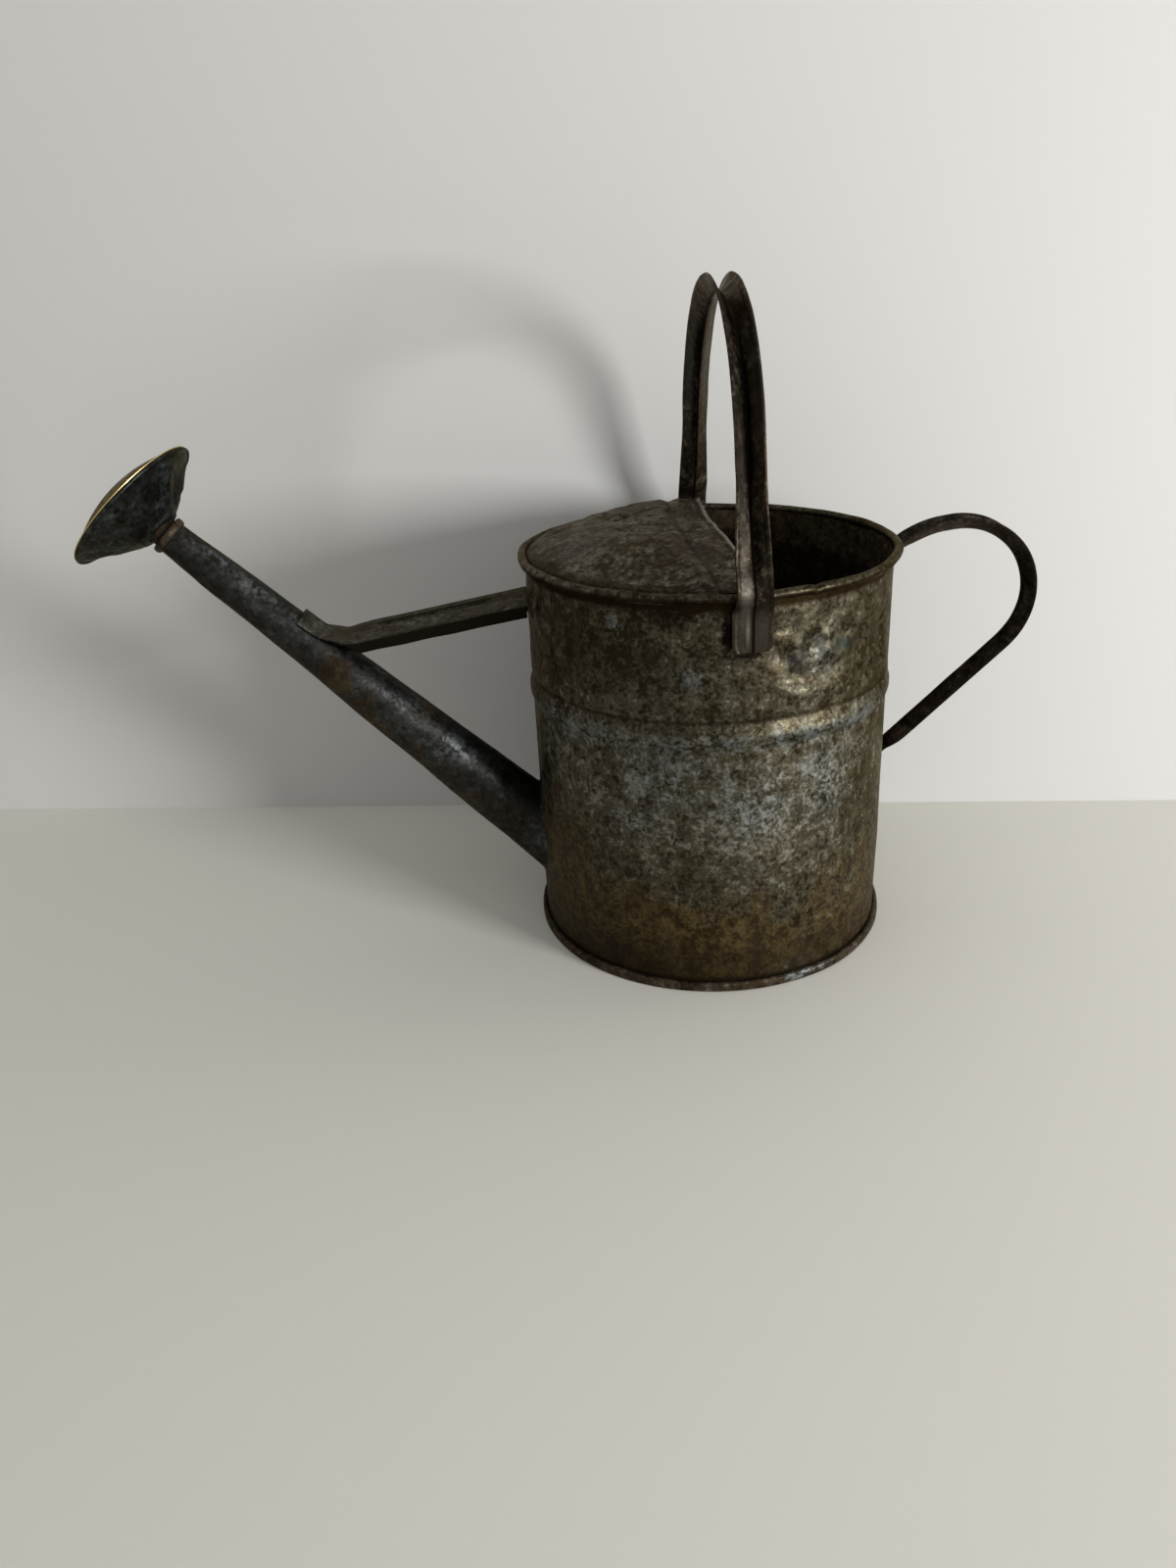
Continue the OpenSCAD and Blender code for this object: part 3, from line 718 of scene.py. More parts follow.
def buildSpout(material):
    turns = np.linspace(0, 2 * math.pi, spoutShape["round"], endpoint=False)
    outer, inner = [], []
    for turn in turns:
        # walk down this line of the cone until it meets the wall
        radial = spoutRadial(turn)
        t = np.linspace(205, 335, 1301)
        line = tip - t[:, None] * spoutOut + spoutRadius(t)[:, None] * radial
        end = t[np.argmax(np.hypot(line[:, 0], line[:, 1]) < can["wall"] - 0.9)]
        s = end * np.linspace(0, 1, spoutShape["along"])
        r = spoutRadius(s)
        middle = tip - s[:, None] * spoutOut
        p = middle + r[:, None] * radial
        free = ease(s / 14) * ease((end - s) / 16)
        dent = spoutShape["wander"] * rough(p, 30, 71, 2)
        dent = free * (dent + spoutShape["crumple"] * rough(p, 12, 77, 2, sharp=True))
        for at, side, tall, wide, deep in spoutShape["dents"]:
            away = np.hypot((s - at) / tall, (turn - side) * r / wide)
            dent = dent - free * deep * np.clip(1 - away, 0, 1)
        behind = np.mod(turn - math.radians(spoutShape["seamTurn"]), 2 * math.pi) * r
        step = spoutShape["seamStep"] * (1 - ease((behind - spoutShape["seamHalf"]) / 3.5)) * ease(s / 6)
        solder = spoutShape["solder"] * ease(1 - (end - s) / 4.5)
        outer.append(middle + (r + dent + step + solder)[:, None] * radial)
        inner.append(middle + (r + dent - spout["sheet"])[:, None] * radial)
    # turn goes round so that the outside comes first
    verts, faces = stitched(np.array(outer)[::-1], np.array(inner)[::-1], True)
    return makePiece("spout", verts, faces, material, "can", "spout_sheet", ["spout_tube"])


def alongSpout(down, lift=0.0, across=0.0):
    return tuple(tip - spoutOut * down + spoutUp * lift + sideways * across)


spoutLook = {
    "dark": (0.01, 0.0098, 0.0088), "mid": (0.026, 0.0265, 0.025), "light": (0.062, 0.066, 0.067),
    "toneRange": (0.37, 0.63),
    "bloom": (0.26, 0.29, 0.31), "bloomAt": [(alongSpout(30, 7, -6), (26, 4, 26), 0.8),
                                             (alongSpout(62, 8, -7), (26, 4, 26), 0.7),
                                             (alongSpout(92, 9, -8), (20, 4, 20), 0.5),
                                             (alongSpout(168, 10, -11), (24, 5, 24), 0.35),
                                             (alongSpout(212, 10, -14), (22, 7, 22), 0.5)],
    "rust": 0.42, "rustAt": [(alongSpout(124, -2, -10), (22, 16, 22), 1.1),
                             (alongSpout(155, -8, -8), (32, 14, 32), 1.0),
                             (alongSpout(190, -10, -6), (34, 16, 34), 0.8),
                             (alongSpout(240, -14, -6), (40, 20, 40), 0.9),
                             (alongSpout(262, 0, -6), (34, 34, 34), 0.5)],
    # the first two: painted shadow of the can's body on the spout's root
    "stainsAndPaintedLightAt": [(alongSpout(262, 8, 0), (34, 34, 34), 0.9, (0.004, 0.0025, 0.002)),
                (alongSpout(236, 16, 0), (36, 14, 36), 0.85, (0.004, 0.0025, 0.002)),
                (alongSpout(196, 18, 4), (40, 12, 40), 0.7, (0.009, 0.007, 0.005)),
                (alongSpout(40, -7, -7), (60, 5, 60), 0.8, (0.018, 0.013, 0.007))],
    "rustLight": (0.036, 0.0245, 0.0095), "rustDark": (0.011, 0.0058, 0.0018),
    "streakAlong": (0.5, 1.0, 0.5), "patchScale": 60, "runs": 0.3, "pits": 0.6,
    "metal": 0.85, "roughness": (0.34, 0.52), "shift": (0.1, 0.7, 0.2)}
buildSpout(weathered("darkSpoutSheet", spoutLook))


# ring round the spout's tip
tipRing = {"turns": 96, "gap": 0.05, "uneven": 0.12}
ringProfile = np.array([(0.03, 0.1), (1.2, 0.1), (1.8, -0.25), (2.15, -1.0), (2.25, -1.9), (2.2, -2.8),
                        (1.75, -3.6), (1.0, -4.1), (0.3, -4.15)])


def tipRingPlace(angle, profile):
    ring = np.array([[12 * math.cos(angle), 12 * math.sin(angle), 0]])
    uneven = 1 + tipRing["uneven"] * (float(rough(ring, 6, 81, 2)[0]) - 1)
    r = spout["tipRadius"] + tipRing["gap"] + profile[:, 0] * uneven
    up = profile[:, 1]
    up = np.where(up < -3, up + 0.35 * float(lump(ring, 5, 85)[0]) - 0.2, up)
    return tip + up[:, None] * spoutOut + r[:, None] * spoutRadial(angle)


ringRust = weathered("rustyRing", {
    "dark": (0.014, 0.009, 0.005), "mid": (0.04, 0.028, 0.018), "light": (0.09, 0.07, 0.05),
    "rust": 0.5, "rustLight": (0.09, 0.055, 0.03), "rustDark": (0.022, 0.012, 0.006),
    "metal": 0.4, "roughness": (0.45, 0.7),
    "broadScale": 80, "patchScale": 150, "bump": 0.8})
makePiece("spoutRing", *ringGrid(ringProfile, tipRing["turns"], tipRingPlace), ringRust,
          "can", "ring", ["spout_ring"])


# brace: channel strip from the wall, its end wrapped over the spout
brace = {
    "tabTop": 88.6, "bend": 115.0, "wallEnd": (-110.4, 220.4), "half": 15.0, "tabHalf": 12.6,
    "flange": 6.2, "sheet": 1.0, "roll": 7.0, "bendRound": 13.0, "cells": 190,
    "over": 1.25,                             # how far its top lies over the spout
    "groove": (4.8, 2.3, 1.5),                # place across, half width, depth
    "uneven": 0.35, "wallGap": 0.1, "flangeGap": 1.7,
}


def spoutTop(down):
    return (tip - spoutOut * down + spoutUp * (spoutRadius(down) + brace["over"]))[[0, 2]]


def buildBrace(material):
    corner = spoutTop(brace["bend"])
    start, end = spoutTop(brace["tabTop"]), np.array(brace["wallEnd"])
    inDir = (corner - start) / np.linalg.norm(corner - start)
    outDir = (end - corner) / np.linalg.norm(end - corner)
    turnBy = math.acos(float(np.clip(inDir @ outDir, -1, 1)))
    tangent = brace["bendRound"] * math.tan(turnBy / 2)
    lenIn = np.linalg.norm(corner - start) - tangent
    lenArc = brace["bendRound"] * turnBy
    lenOut = np.linalg.norm(end - corner) - tangent
    total = lenIn + lenArc + lenOut
    startAngle = math.atan2(inDir[1], inDir[0])
    grooveAt, grooveHalf, grooveDeep = brace["groove"]
    rows = []
    # across: -1..1 is the plate, beyond is the flange
    plate = np.linspace(-1, 1, 41)
    fold = np.linspace(0, 1, 5)[1:]
    for k in range(brace["cells"] + 1):
        d = total * k / brace["cells"]
        if d < lenIn:
            p, a = start + inDir * d, startAngle
        elif d < lenIn + lenArc:
            a = startAngle + (d - lenIn) / brace["bendRound"]
            inward = np.array([-math.sin(startAngle), math.cos(startAngle)])
            p = start + inDir * lenIn + brace["bendRound"] * (inward + [math.sin(a), -math.cos(a)])
        else:
            a = startAngle + turnBy
            p = corner + outDir * (tangent + d - lenIn - lenArc)
        n = np.array([-math.sin(a), math.cos(a)])
        flat = float(ease((d - 9) / (lenIn + lenArc * 0.4 - 9)))
        half = brace["tabHalf"] + (brace["half"] - brace["tabHalf"]) * flat
        down = brace["tabTop"] + d
        rim = spoutRadius(down) + brace["over"]
        roll = math.radians(brace["roll"]) * float(ease((d - lenIn) / 20))
        deep = brace["flange"] * float(ease((d - lenIn - lenArc * 0.75) / 9)) + 0.02
        deep = deep * (0.84 + 0.16 * d / total)
        row = []
        groove = float(ease((d - lenIn - lenArc - 16) / 5) * ease((total - 20 - d) / 5))
        for v in np.concatenate([-1 - fold[::-1], plate, 1 + fold]):
            inPlate = float(np.clip(v, -1, 1))
            turn = inPlate * half / rim
            wrapSide = rim * math.sin(turn)
            wrapDrop = rim * (math.cos(turn) - 1)
            side = wrapSide * (1 - flat) + inPlate * half * flat
            drop = wrapDrop * (1 - flat)
            drop -= 0.15 * flat * abs(inPlate) ** 10
            drop -= groove * grooveDeep * math.exp(-((side - grooveAt) / grooveHalf) ** 4)
            over = abs(v) - 1
            if over > 0:
                drop -= over * deep
                side += math.copysign(0.35 * min(over * 4, 1), v)
            drop += brace["uneven"] * float(lump(np.array([d * 1.0, side * 2.0, 5.0]), 16, 91))
            tilt = side * math.sin(roll)
            q = p + n * (drop + tilt)
            row.append((q[0], side * math.cos(roll), q[1]))
        rows.append(row)
    grid = np.array(rows)
    # flanges stop short of the wall, and the plate's end is cut to it
    lastRows = grid[-9:]
    for r in range(len(lastRows)):
        for c in range(grid.shape[1]):
            x, y = lastRows[r, c, :2]
            limit = -math.sqrt(max((can["wall"] + brace["wallGap"]) ** 2 - y * y, 0))
            if c < 3 or c > grid.shape[1] - 4:
                limit -= brace["flangeGap"]
            lastRows[r, c, 0] = min(x, limit - 0.02 * (len(lastRows) - 1 - r))
    verts, faces = sheetGrid(grid[:, ::-1], brace["sheet"])
    return makePiece("spoutBrace", verts, faces, material, "can", "brace_sheet", ["spout_brace"], 50)


braceLook = {
    "dark": (0.018, 0.016, 0.011), "mid": (0.046, 0.044, 0.034), "light": (0.11, 0.107, 0.09),
    "rust": 0.25, "rustLight": (0.045, 0.034, 0.02), "rustDark": (0.02, 0.013, 0.007),
    "rustAt": [((-216, -14, 196), (34, 8, 14), 0.6)], "bloomAt": [((-170, -6, 212), (30, 8, 12), 0.4)],
    "metal": 0.78, "roughness": (0.4, 0.6),
    # flange darker; painted shade at the groove's sides and along the far fold, with dirt
    "foldShadeAndDirt": [(1, -16.6, 2.4, 1.0), (1, 7.4, 1.3, 0.85), (1, 2.2, 1.3, 0.8), (1, 15.6, 1.2, 0.8)],
    "foldTint": (0.008, 0.006, 0.004), "bump": 0.45, "shift": (0.5, 0, 0.4), "runs": 0.2, "pits": 0.5}
buildBrace(weathered("dullBraceSheet", braceLook))


# channel strips for both handles
def skinThickness(deep):
    return 0.9 + 0.055 * deep


def stripGrid(stations, planeToWorld, cells, seed, lift):
    # stations: distance marks with ridge line, opening direction, half width, depth, wrap
    st = np.array(stations, float)
    gaps = np.hypot(np.diff(st[:, 0]), np.diff(st[:, 1]))
    marks = np.concatenate([[0], np.cumsum(gaps)])
    at = np.linspace(0, marks[-1], cells)
    line = np.stack([np.interp(at, marks, st[:, k]) for k in range(st.shape[1])], -1)
    # soften the joins between stations
    kernel = np.array([1, 3, 5, 3, 1], float) / 13
    for k in range(st.shape[1]):
        padded = np.pad(line[:, k], 2, mode="edge")
        line[:, k] = np.convolve(padded, kernel, "valid")
    line[0, :2], line[-1, :2] = st[0, :2], st[-1, :2]
    along = np.gradient(line[:, :2], axis=0)
    along /= np.maximum(np.linalg.norm(along, axis=1, keepdims=True), 1e-9)
    opening = np.stack([-along[:, 1], along[:, 0]], -1)
    v = np.linspace(-1, 1, 33)
    soft = (np.sqrt(v ** 2 + 0.006) - math.sqrt(0.006)) / (math.sqrt(1.006) - math.sqrt(0.006))
    grid = np.zeros((cells, len(v), 3))
    for i in range(cells):
        half, deep, wrap = line[i, 2:5]
        bulge = 0.06 * deep * (1 - (2 * np.abs(v) - 1) ** 2)      # wings bow outward a little
        up = deep * soft - bulge - wrap * v ** 2 + skinThickness(deep)
        side = half * v * (1 + 0.05 * np.sin(np.abs(v) * math.pi))
        q = line[i, :2][None, :] + opening[i][None, :] * up[:, None]
        grid[i] = planeToWorld(q[:, 0], side, q[:, 1])
    n = gridNormals(grid, False)
    wobble = 0.22 * rough(grid, 20, seed, 2) + 0.1 * rough(grid, 8, seed + 5, 1, sharp=True)
    return grid + n * (wobble * lift)[..., None], v, skinThickness(line[:, 3])


def clearOfWall(grid, close, gap):
    # push what lies too near the axis back out to the wall's outside
    r = np.hypot(grid[..., 0], grid[..., 1])
    need = can["wall"] + gap
    scale = np.where((r < need) & close, need / np.maximum(r, 1), 1)
    grid[..., 0] *= scale
    grid[..., 1] *= scale


def stripPiece(name, grid, v, skin, flip, material, slotName, nodeName):
    # the hemmed edges stand a little proud of the strip on both sides
    hem = ease((np.abs(v) - 0.74) / 0.07) * (1 - 0.5 * ease((np.abs(v) - 0.97) / 0.03))
    under = (skin - 0.1)[:, None] + 0.12 * hem[None, :]
    over = -0.42 * (1 - hem)[None, :] * np.ones((grid.shape[0], 1))
    if flip:
        grid = grid[:, ::-1]
    n = gridNormals(grid, False)
    return makePiece(name, *stitched(grid + n * over[..., None], grid - n * under[..., None], False),
                     material, "can", slotName, [nodeName], 50)


carry = {
    "plane": 7.5, "centre": 295.5, "radius": 101.0, "deep": 9.0, "splay": 13.5, "cells": 300,
    # down each leg: distance, half width, depth
    "openLeg": [(7, 7, 9), (18, 7, 8.9), (30, 7.2, 8.4), (40, 7.7, 7.5), (49, 8.3, 6.2), (55, 8.7, 5.2),
                (60, 9, 4.2)],
    # height, distance from the axis, half width, depth, wrap
    "flatLeg": [(255.5, 110.2, 9.1, 3.6, 0), (250.8, 113.2, 9.2, 2.9, 0), (246.5, 114.9, 9.4, 2.4, 0.1),
                (243, 114.85, 9.8, 1.8, 0.15), (239.5, 112.9, 10.5, 1, 0.3), (236.5, 110.8, 10.9, 0.4, 0.5),
                (233, 110.05, 11, 0, 0.56), (217, 110.05, 11, 0, 0.56), (214.6, 110.05, 10.2, 0, 0.48),
                (213.4, 110.05, 8.6, 0, 0.34)],
}


def carryStations():
    a = math.radians(carry["splay"])
    topPoint = np.array([carry["radius"] * math.cos(a), carry["centre"] + carry["radius"] * math.sin(a)])
    legDir = np.array([math.sin(a), -math.cos(a)])
    outDir = np.array([math.cos(a), math.sin(a)])
    leg = []
    for d, half, deep in carry["openLeg"]:
        p = topPoint + d * legDir - (deep + skinThickness(deep)) * outDir
        leg.append((p[0], p[1], half, deep, 0))
    leg += [(r, z, half, deep, wrap) for z, r, half, deep, wrap in carry["flatLeg"]]
    ridge = carry["radius"] - carry["deep"] - skinThickness(carry["deep"])
    bow = [(ridge * math.cos(t), carry["centre"] + ridge * math.sin(t), 7, 9, 0)
           for t in np.radians(np.linspace(13.5, 166.5, 61))]
    far = [(-p[0], *p[1:]) for p in leg]
    # travel so that the opening side faces outward
    return far[::-1] + bow[::-1] + leg


def buildCarry(material):
    grid, v, skin = stripGrid(carryStations(),
                              lambda p, side, z: np.stack([carry["plane"] + side, p, z], -1),
                              carry["cells"], 101, 1.0)
    clearOfWall(grid, grid[..., 2] < 241.3, 0.8)
    return stripPiece("carryHandle", grid, v, skin, True, material, "hoop_strip", "carry_handle")


carryLook = {
    "dark": (0.012, 0.008, 0.005), "mid": (0.03, 0.0225, 0.0155), "light": (0.095, 0.081, 0.063),
    "rust": 0.4, "rustLight": (0.055, 0.034, 0.018), "rustDark": (0.016, 0.008, 0.004),
    "stainsAndPaintedLightAt": [((7.5, -111, 226), (26, 9, 26), 1.1, (0.036, 0.033, 0.026)),
                # painted shade: the near leg's shaded groove wall, near black
                ((10.0, -108, 268), (3.8, 30, 48), 1.5, (0.003, 0.002, 0.0015)),
                ((8.5, -80, 352), (2.2, 44, 50), 2.0, (0.004, 0.0025, 0.002)),
                ((8.5, -96, 310), (2.2, 30, 50), 2.0, (0.004, 0.0025, 0.002)),
                ((12.8, -84, 345), (4.2, 50, 70), 1.0, (0.05, 0.038, 0.031)),
                # painted light on the near leg's lit left wing, and a painted highlight on the lug's ridge
                ((3.0, -106, 300), (4.5, 40, 90), 0.75, (0.12, 0.105, 0.085)),
                ((3.0, -112, 246), (4.5, 12, 22), 0.9, (0.11, 0.11, 0.1)),
                ((5.0, -112, 226), (1.7, 8, 15), 1.2, (0.15, 0.14, 0.115)),
                ((7.5, 106, 272), (12, 14, 22), 0.5, (0.008, 0.005, 0.004)),
                ((2.4, 80, 352), (4.6, 50, 60), 1.3, (0.034, 0.04, 0.038)),
                # far leg: a painted lit band, then painted shade in its groove
                ((12.5, 82, 348), (4, 46, 60), 0.9, (0.1, 0.098, 0.09)),
                ((5.6, 70, 354), (3.4, 36, 40), 2.2, (0.002, 0.002, 0.002)),
                ((5.8, 92, 318), (3.2, 30, 50), 1.7, (0.002, 0.002, 0.002))],
    "bloom": (0.17, 0.165, 0.15), "bloomAt": [((5, 40, 396), (10, 70, 16), 0.6)],
    # the first: painted shade in the channel's valley, with dirt
    "foldShadeAndDirt": [(0, 7.9, 1.35, 1.0), (0, 17.6, 1.2, 0.5)], "foldTint": (0.003, 0.002, 0.0015),
    "metal": 0.75, "roughness": (0.32, 0.54), "bump": 0.5, "shift": (0.2, 0.9, 0.1), "runs": 0.3}
buildCarry(weathered("wornHoopStrip", carryLook))


rear = {
    "centre": (156.0, 206.0), "ridge": 40.2, "deep": 6.8, "from": 100.0, "to": -47.0,
    "cells": 230, "run": (20, 42, 62, 74, 85.4), "runEnd": 91.1,
    "upper": [(110.95, 216, 6, 0, -0.164), (110.95, 217.2, 7.6, 0, -0.263), (110.95, 219, 8.4, 0, -0.321),
              (110.95, 226, 8.4, 0, -0.321), (112.1, 229, 8.2, 0.6, -0.15), (113.6, 231.6, 7.9, 1.8, 0),
              (116.2, 233.9, 7.6, 3.6, 0), (119.6, 236, 7.3, 5.2, 0), (124.4, 238.3, 7.1, 6.2, 0),
              (130.2, 240.8, 7, 6.6, 0), (136.2, 243, 7, 6.8, 0), (142.6, 244.7, 7, 6.8, 0)],
    "lower": [(112.8, 109.8, 7.9, 3.6, 0), (111.2, 105.8, 8.6, 1.2, 0.2), (110.3, 102, 9, 0.3, 0.34),
              (110.05, 98, 9, 0, 0.369), (110.05, 78, 9, 0, 0.369), (110.05, 75.4, 7.8, 0, 0.277),
              (110.05, 74.2, 6, 0, 0.164)],
}


def rearStations():
    c = np.array(rear["centre"])
    bow = [(c[0] + rear["ridge"] * math.cos(t), c[1] + rear["ridge"] * math.sin(t), 7, rear["deep"], 0)
           for t in np.radians(np.linspace(rear["from"], rear["to"], 46))]
    t1 = math.radians(rear["to"])
    run0 = np.array(bow[-1][:2])
    runDir = np.array([math.sin(t1), -math.cos(t1)])
    run = [(*(run0 + d * runDir), 7, rear["deep"], 0) for d in rear["run"]]
    run.append((*(run0 + rear["runEnd"] * runDir), 7.2, 6, 0))
    return rear["upper"] + bow + run + rear["lower"]


def buildRear(material):
    grid, v, skin = stripGrid(rearStations(), lambda p, side, z: np.stack([p, side, z], -1),
                              rear["cells"], 131, 0.9)
    clearOfWall(grid, (grid[..., 0] < 116) & (grid[..., 2] < 112), 0.8)
    clearOfWall(grid, (grid[..., 0] < 114) & (grid[..., 2] > 210), 0.06)
    return stripPiece("rearHandle", grid, v, skin, False, material, "rear_strip", "rear_handle")


rearLook = {
    "dark": (0.008, 0.0055, 0.0045), "mid": (0.02, 0.0155, 0.0125), "light": (0.062, 0.053, 0.045),
    "rust": 0.45, "rustLight": (0.045, 0.026, 0.014), "rustDark": (0.012, 0.006, 0.004),
    "metal": 0.75, "roughness": (0.28, 0.52), "shift": (0.6, 0.3, 0.5), "runs": 0.3}
buildRear(weathered("darkRearStrip", rearLook))


# rose: neck, flared shell and pierced brass face
rose = {"tilt": 2.0, "turn": 8.0, "pivot": 13.0, "crumple": 2.2, "round": 300, "along": 110, "sheet": 0.55}


def rosePoint(radius, up, angle):
    # local x is the upper side of the spout, y sideways; the whole rose leans a little off its neck
    tilt, turn = math.radians(rose["tilt"]), math.radians(rose["turn"])
    x, y, z = radius * np.cos(angle), radius * np.sin(angle), up - rose["pivot"]
    y, z = y * math.cos(turn) + z * math.sin(turn), z * math.cos(turn) - y * math.sin(turn)
    x, z = x * math.cos(tilt) + z * math.sin(tilt), z * math.cos(tilt) - x * math.sin(tilt)
    z = z + rose["pivot"]
    return tip + x[..., None] * spoutUp + y[..., None] * sideways + z[..., None] * spoutOut


# the shell's outline, from its neck to the rolled edge: radius, distance beyond the spout's tip
flareLine = np.array([
    (9.1, 2.72), (11, 2.7), (12.4, 2.72), (13.3, 3.1), (14, 4), (14.5, 4.6), (15.2, 5.2), (16.1, 5.9),
    (17.2, 6.6), (20.4, 8.8), (23, 10.5), (25.4, 12.1), (28, 13.7), (30.6, 15.2), (33, 16.6),
    (35.3, 17.9), (37.5, 19.2), (39.7, 20.4), (41.6, 21.55), (42.9, 22.2), (43.7, 22.15), (44.4, 21.85),
    (45.1, 22.1), (45.55, 22.7), (45.55, 23.4), (45.1, 24), (44.5, 24.2)])


def buildShell(material):
    marks = np.concatenate([[0], np.cumsum(np.hypot(*np.diff(flareLine, axis=0).T))])
    at = np.linspace(0, marks[-1], rose["along"])
    line = np.stack([np.interp(at, marks, flareLine[:, k]) for k in (0, 1)], -1)
    angles = np.linspace(0, 2 * math.pi, rose["round"], endpoint=False)
    grid = np.zeros((rose["round"], len(line), 3))
    for i, a in enumerate(angles):
        # creases run out along the flare
        flat = 0 * line[:, 0]
        p = np.stack([24 * np.cos(a) + flat, 24 * np.sin(a) + flat, line[:, 1] * 0.3], -1)
        crease = ease((line[:, 0] - 13) / 7) * (1 - ease((line[:, 0] - 39) / 4))
        folds = 0.7 * lump(p, 7.5, 151) + 0.65 * lump(p, 4, 157, True) + 0.5 * lump(p, 15, 163)
        q = np.stack([line[:, 0] * np.cos(a), line[:, 0] * np.sin(a), flat], -1)
        folds = folds + 0.45 * lump(q, 6, 167, True)
        rolled = ease((line[:, 0] - 43.8) / 0.5) * 0.3 * lump(p, 4, 171)
        up = line[:, 1] + rose["crumple"] * crease * folds + np.minimum(rolled, 0)
        grid[i] = rosePoint(line[:, 0], up, np.full(len(line), a))
    verts, faces = sheetGrid(grid, rose["sheet"], True)
    return makePiece("roseShell", verts, faces, material, "rose", "rose_sheet", ["rose_shell"], 60)


shellLook = {
    "dark": (0.008, 0.0085, 0.0075), "mid": (0.026, 0.029, 0.027), "light": (0.068, 0.074, 0.071),
    "rust": 0.1, "rustLight": (0.03, 0.02, 0.01), "rustDark": (0.01, 0.006, 0.003), "rustCover": 0.6,
    "metal": 0.85, "roughness": (0.3, 0.48), "bump": 0.4, "shift": (0.8, 0.2, 0.9), "broadScale": 30,
    "dirt": (0.014, 0.013, 0.01), "flake": 0.12, "runs": 0.25, "pits": 0.6}
buildShell(weathered("darkRoseSheet", shellLook))

# neck and face are the frame's own pieces, with their own metal
faceEdge, stepOut, neckEnd = (rosePoint(np.array(0.0), np.array(up), np.array(0.0))
                              for up in (24.3, 1.0, 0.0))
neckLook = {
    "dark": (0.008, 0.006, 0.005), "mid": (0.02, 0.016, 0.012), "light": (0.045, 0.036, 0.028),
    "rust": 0.5, "metal": 0.4, "roughness": (0.5, 0.7), "broadScale": 60}
brassLook = {
    "dark": (0.035, 0.024, 0.01), "mid": (0.09, 0.066, 0.03), "light": (0.2, 0.15, 0.07),
    "rust": 0.15, "rustLight": (0.12, 0.07, 0.03), "rustDark": (0.05, 0.03, 0.014),
    # painted glint along the brass face's edge
    "edgeGlint": (faceEdge, stepOut - neckEnd, 0.9, (0.6, 0.47, 0.2)),
    "metal": 0.9, "roughness": (0.28, 0.5), "bump": 0.25,
    "broadScale": 45, "flake": 0.05, "pits": 0.3, "runs": 0.15}
for nodeName, slotName, mat in (("rose_neck", "rose_neck", weathered("darkNeck", neckLook)),
                                ("rose_face", "rose_brass", weathered("tarnishedBrass", brassLook))):
    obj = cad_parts[nodeName]
    obj.data.materials.clear()
    obj.data.materials.append(mat)


# floor, light and camera
stage = {
    "floor": (0.73, 0.712, 0.655), "back": (0.575, 0.575, 0.565),
    # the backdrop meets the floor along the line through these two points
    "wallFrom": (-316.0, 191.0), "wallTo": (308.0, 106.0),
    "key": 62.0, "keyAt": (1747, -1646, 500), "keySize": (0.6, 0.6), "sky": 0.48,
    "cameraAt": (-105.9, -700.2, 418.0), "heading": 87.79, "pitch": 24.96, "roll": -2.88, "lens": 27.05,
}


def paintedSheet(name, corners, colour, oneSided=False):
    mesh = bpy.data.meshes.new(name)
    mesh.from_pydata(corners, [], [(0, 1, 2, 3)])
    obj = bpy.data.objects.new(name, mesh)
    bpy.context.scene.collection.objects.link(obj)
    mat = bpy.data.materials.new(name + "Paint")
    mat.use_nodes = True
    shader = mat.node_tree.nodes["Principled BSDF"]
    shader.inputs["Base Color"].default_value = (*colour, 1)
    shader.inputs["Roughness"].default_value = 0.85
    shader.inputs["Specular IOR Level"].default_value = 0.2
    if oneSided:
        # from behind the backdrop isn't there, so the object shows from every side
        tree = mat.node_tree
        behind = node(tree, "ShaderNodeNewGeometry").outputs["Backfacing"]
        clear = node(tree, "ShaderNodeBsdfTransparent")
        mixed = node(tree, "ShaderNodeMixShader", {0: behind, 1: shader.outputs[0], 2: clear.outputs[0]})
        tree.links.new(mixed.outputs[0], tree.nodes["Material Output"].inputs[0])
    mesh.materials.append(mat)


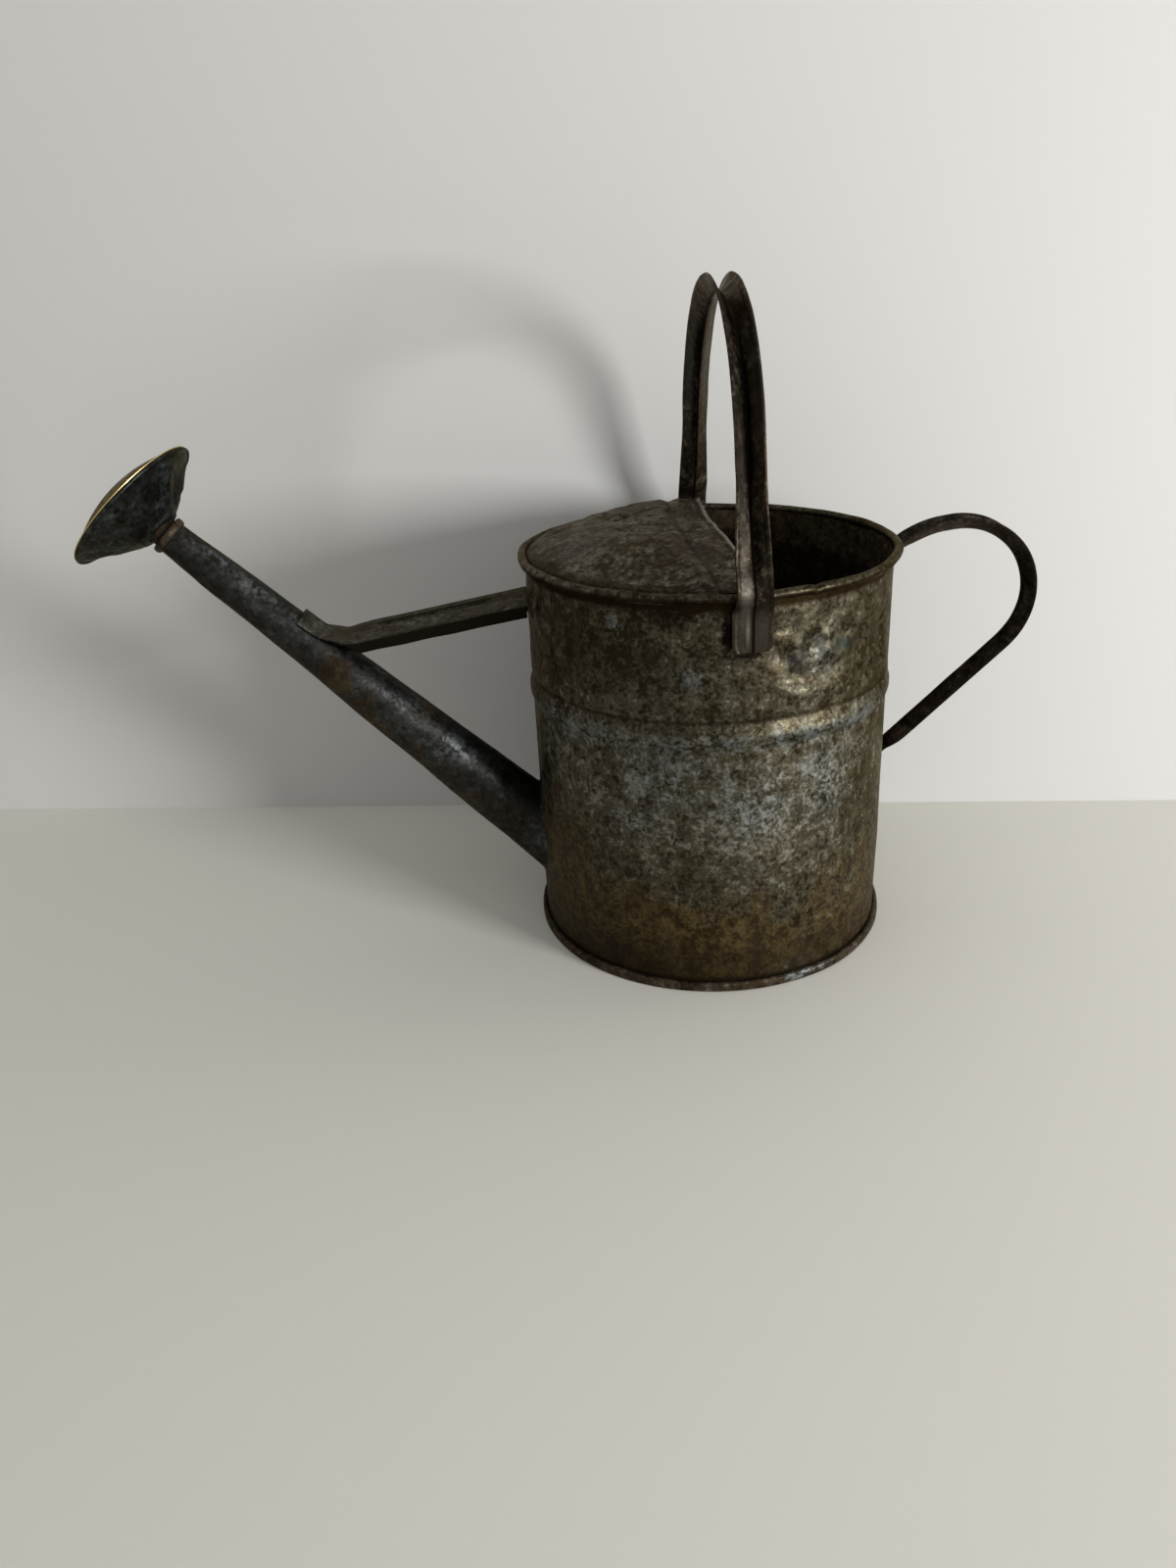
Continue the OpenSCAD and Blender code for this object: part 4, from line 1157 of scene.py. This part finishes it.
def buildStage():
    start, end = (Vector((*stage[k], 0)) * mm for k in ("wallFrom", "wallTo"))
    along = (end - start).normalized()
    left, right = start - along * 4, end + along * 4
    up = Vector((0, 0, 4))
    reach = Vector((6, 6, 0))
    paintedSheet("floor", [-reach, (6, -6, 0), reach, (-6, 6, 0)], stage["floor"])
    paintedSheet("backdrop", [left, right, right + up, left + up], stage["back"], True)

    lamp = bpy.data.lights.new("windowLight", "AREA")
    lamp.shape, lamp.size, lamp.size_y = "RECTANGLE", *stage["keySize"]
    lamp.energy, lamp.color = stage["key"], (1.0, 0.99, 0.97)
    light = bpy.data.objects.new("windowLight", lamp)
    light.location = Vector(stage["keyAt"]) * mm
    light.rotation_mode = "QUATERNION"
    light.rotation_quaternion = (light.location - Vector((0, 0, 0.14))).to_track_quat("Z", "Y")
    bpy.context.scene.collection.objects.link(light)

    world = bpy.data.worlds.new("softSky")
    bpy.context.scene.world = world
    world.use_nodes = True
    tree = world.node_tree
    tree.nodes.clear()
    lit = node(tree, "ShaderNodeBackground", {"Color": (1, 0.995, 0.98), "Strength": stage["sky"]})
    out = node(tree, "ShaderNodeOutputWorld")
    tree.links.new(lit.outputs[0], out.inputs[0])

    camera = bpy.data.cameras.new("camera")
    camera.sensor_width, camera.lens = 36.0, stage["lens"]
    camera.clip_start, camera.clip_end = 0.01, 50
    eye = bpy.data.objects.new("camera", camera)
    h, p, roll = (math.radians(stage[k]) for k in ("heading", "pitch", "roll"))
    forward = Vector((math.cos(h) * math.cos(p), math.sin(h) * math.cos(p), -math.sin(p)))
    right = Vector((math.sin(h), -math.cos(h), 0))
    up = right.cross(forward)
    right2 = right * math.cos(roll) + up * math.sin(roll)
    up2 = up * math.cos(roll) - right * math.sin(roll)
    turn = Matrix((right2, up2, -forward)).transposed().to_4x4()
    eye.matrix_world = Matrix.Translation(Vector(stage["cameraAt"]) * mm) @ turn
    bpy.context.scene.collection.objects.link(eye)
    bpy.context.scene.camera = eye


buildStage()
bpy.context.scene.view_settings.view_transform = "Standard"
bpy.context.view_layer.update()
print("stage, light and camera set")
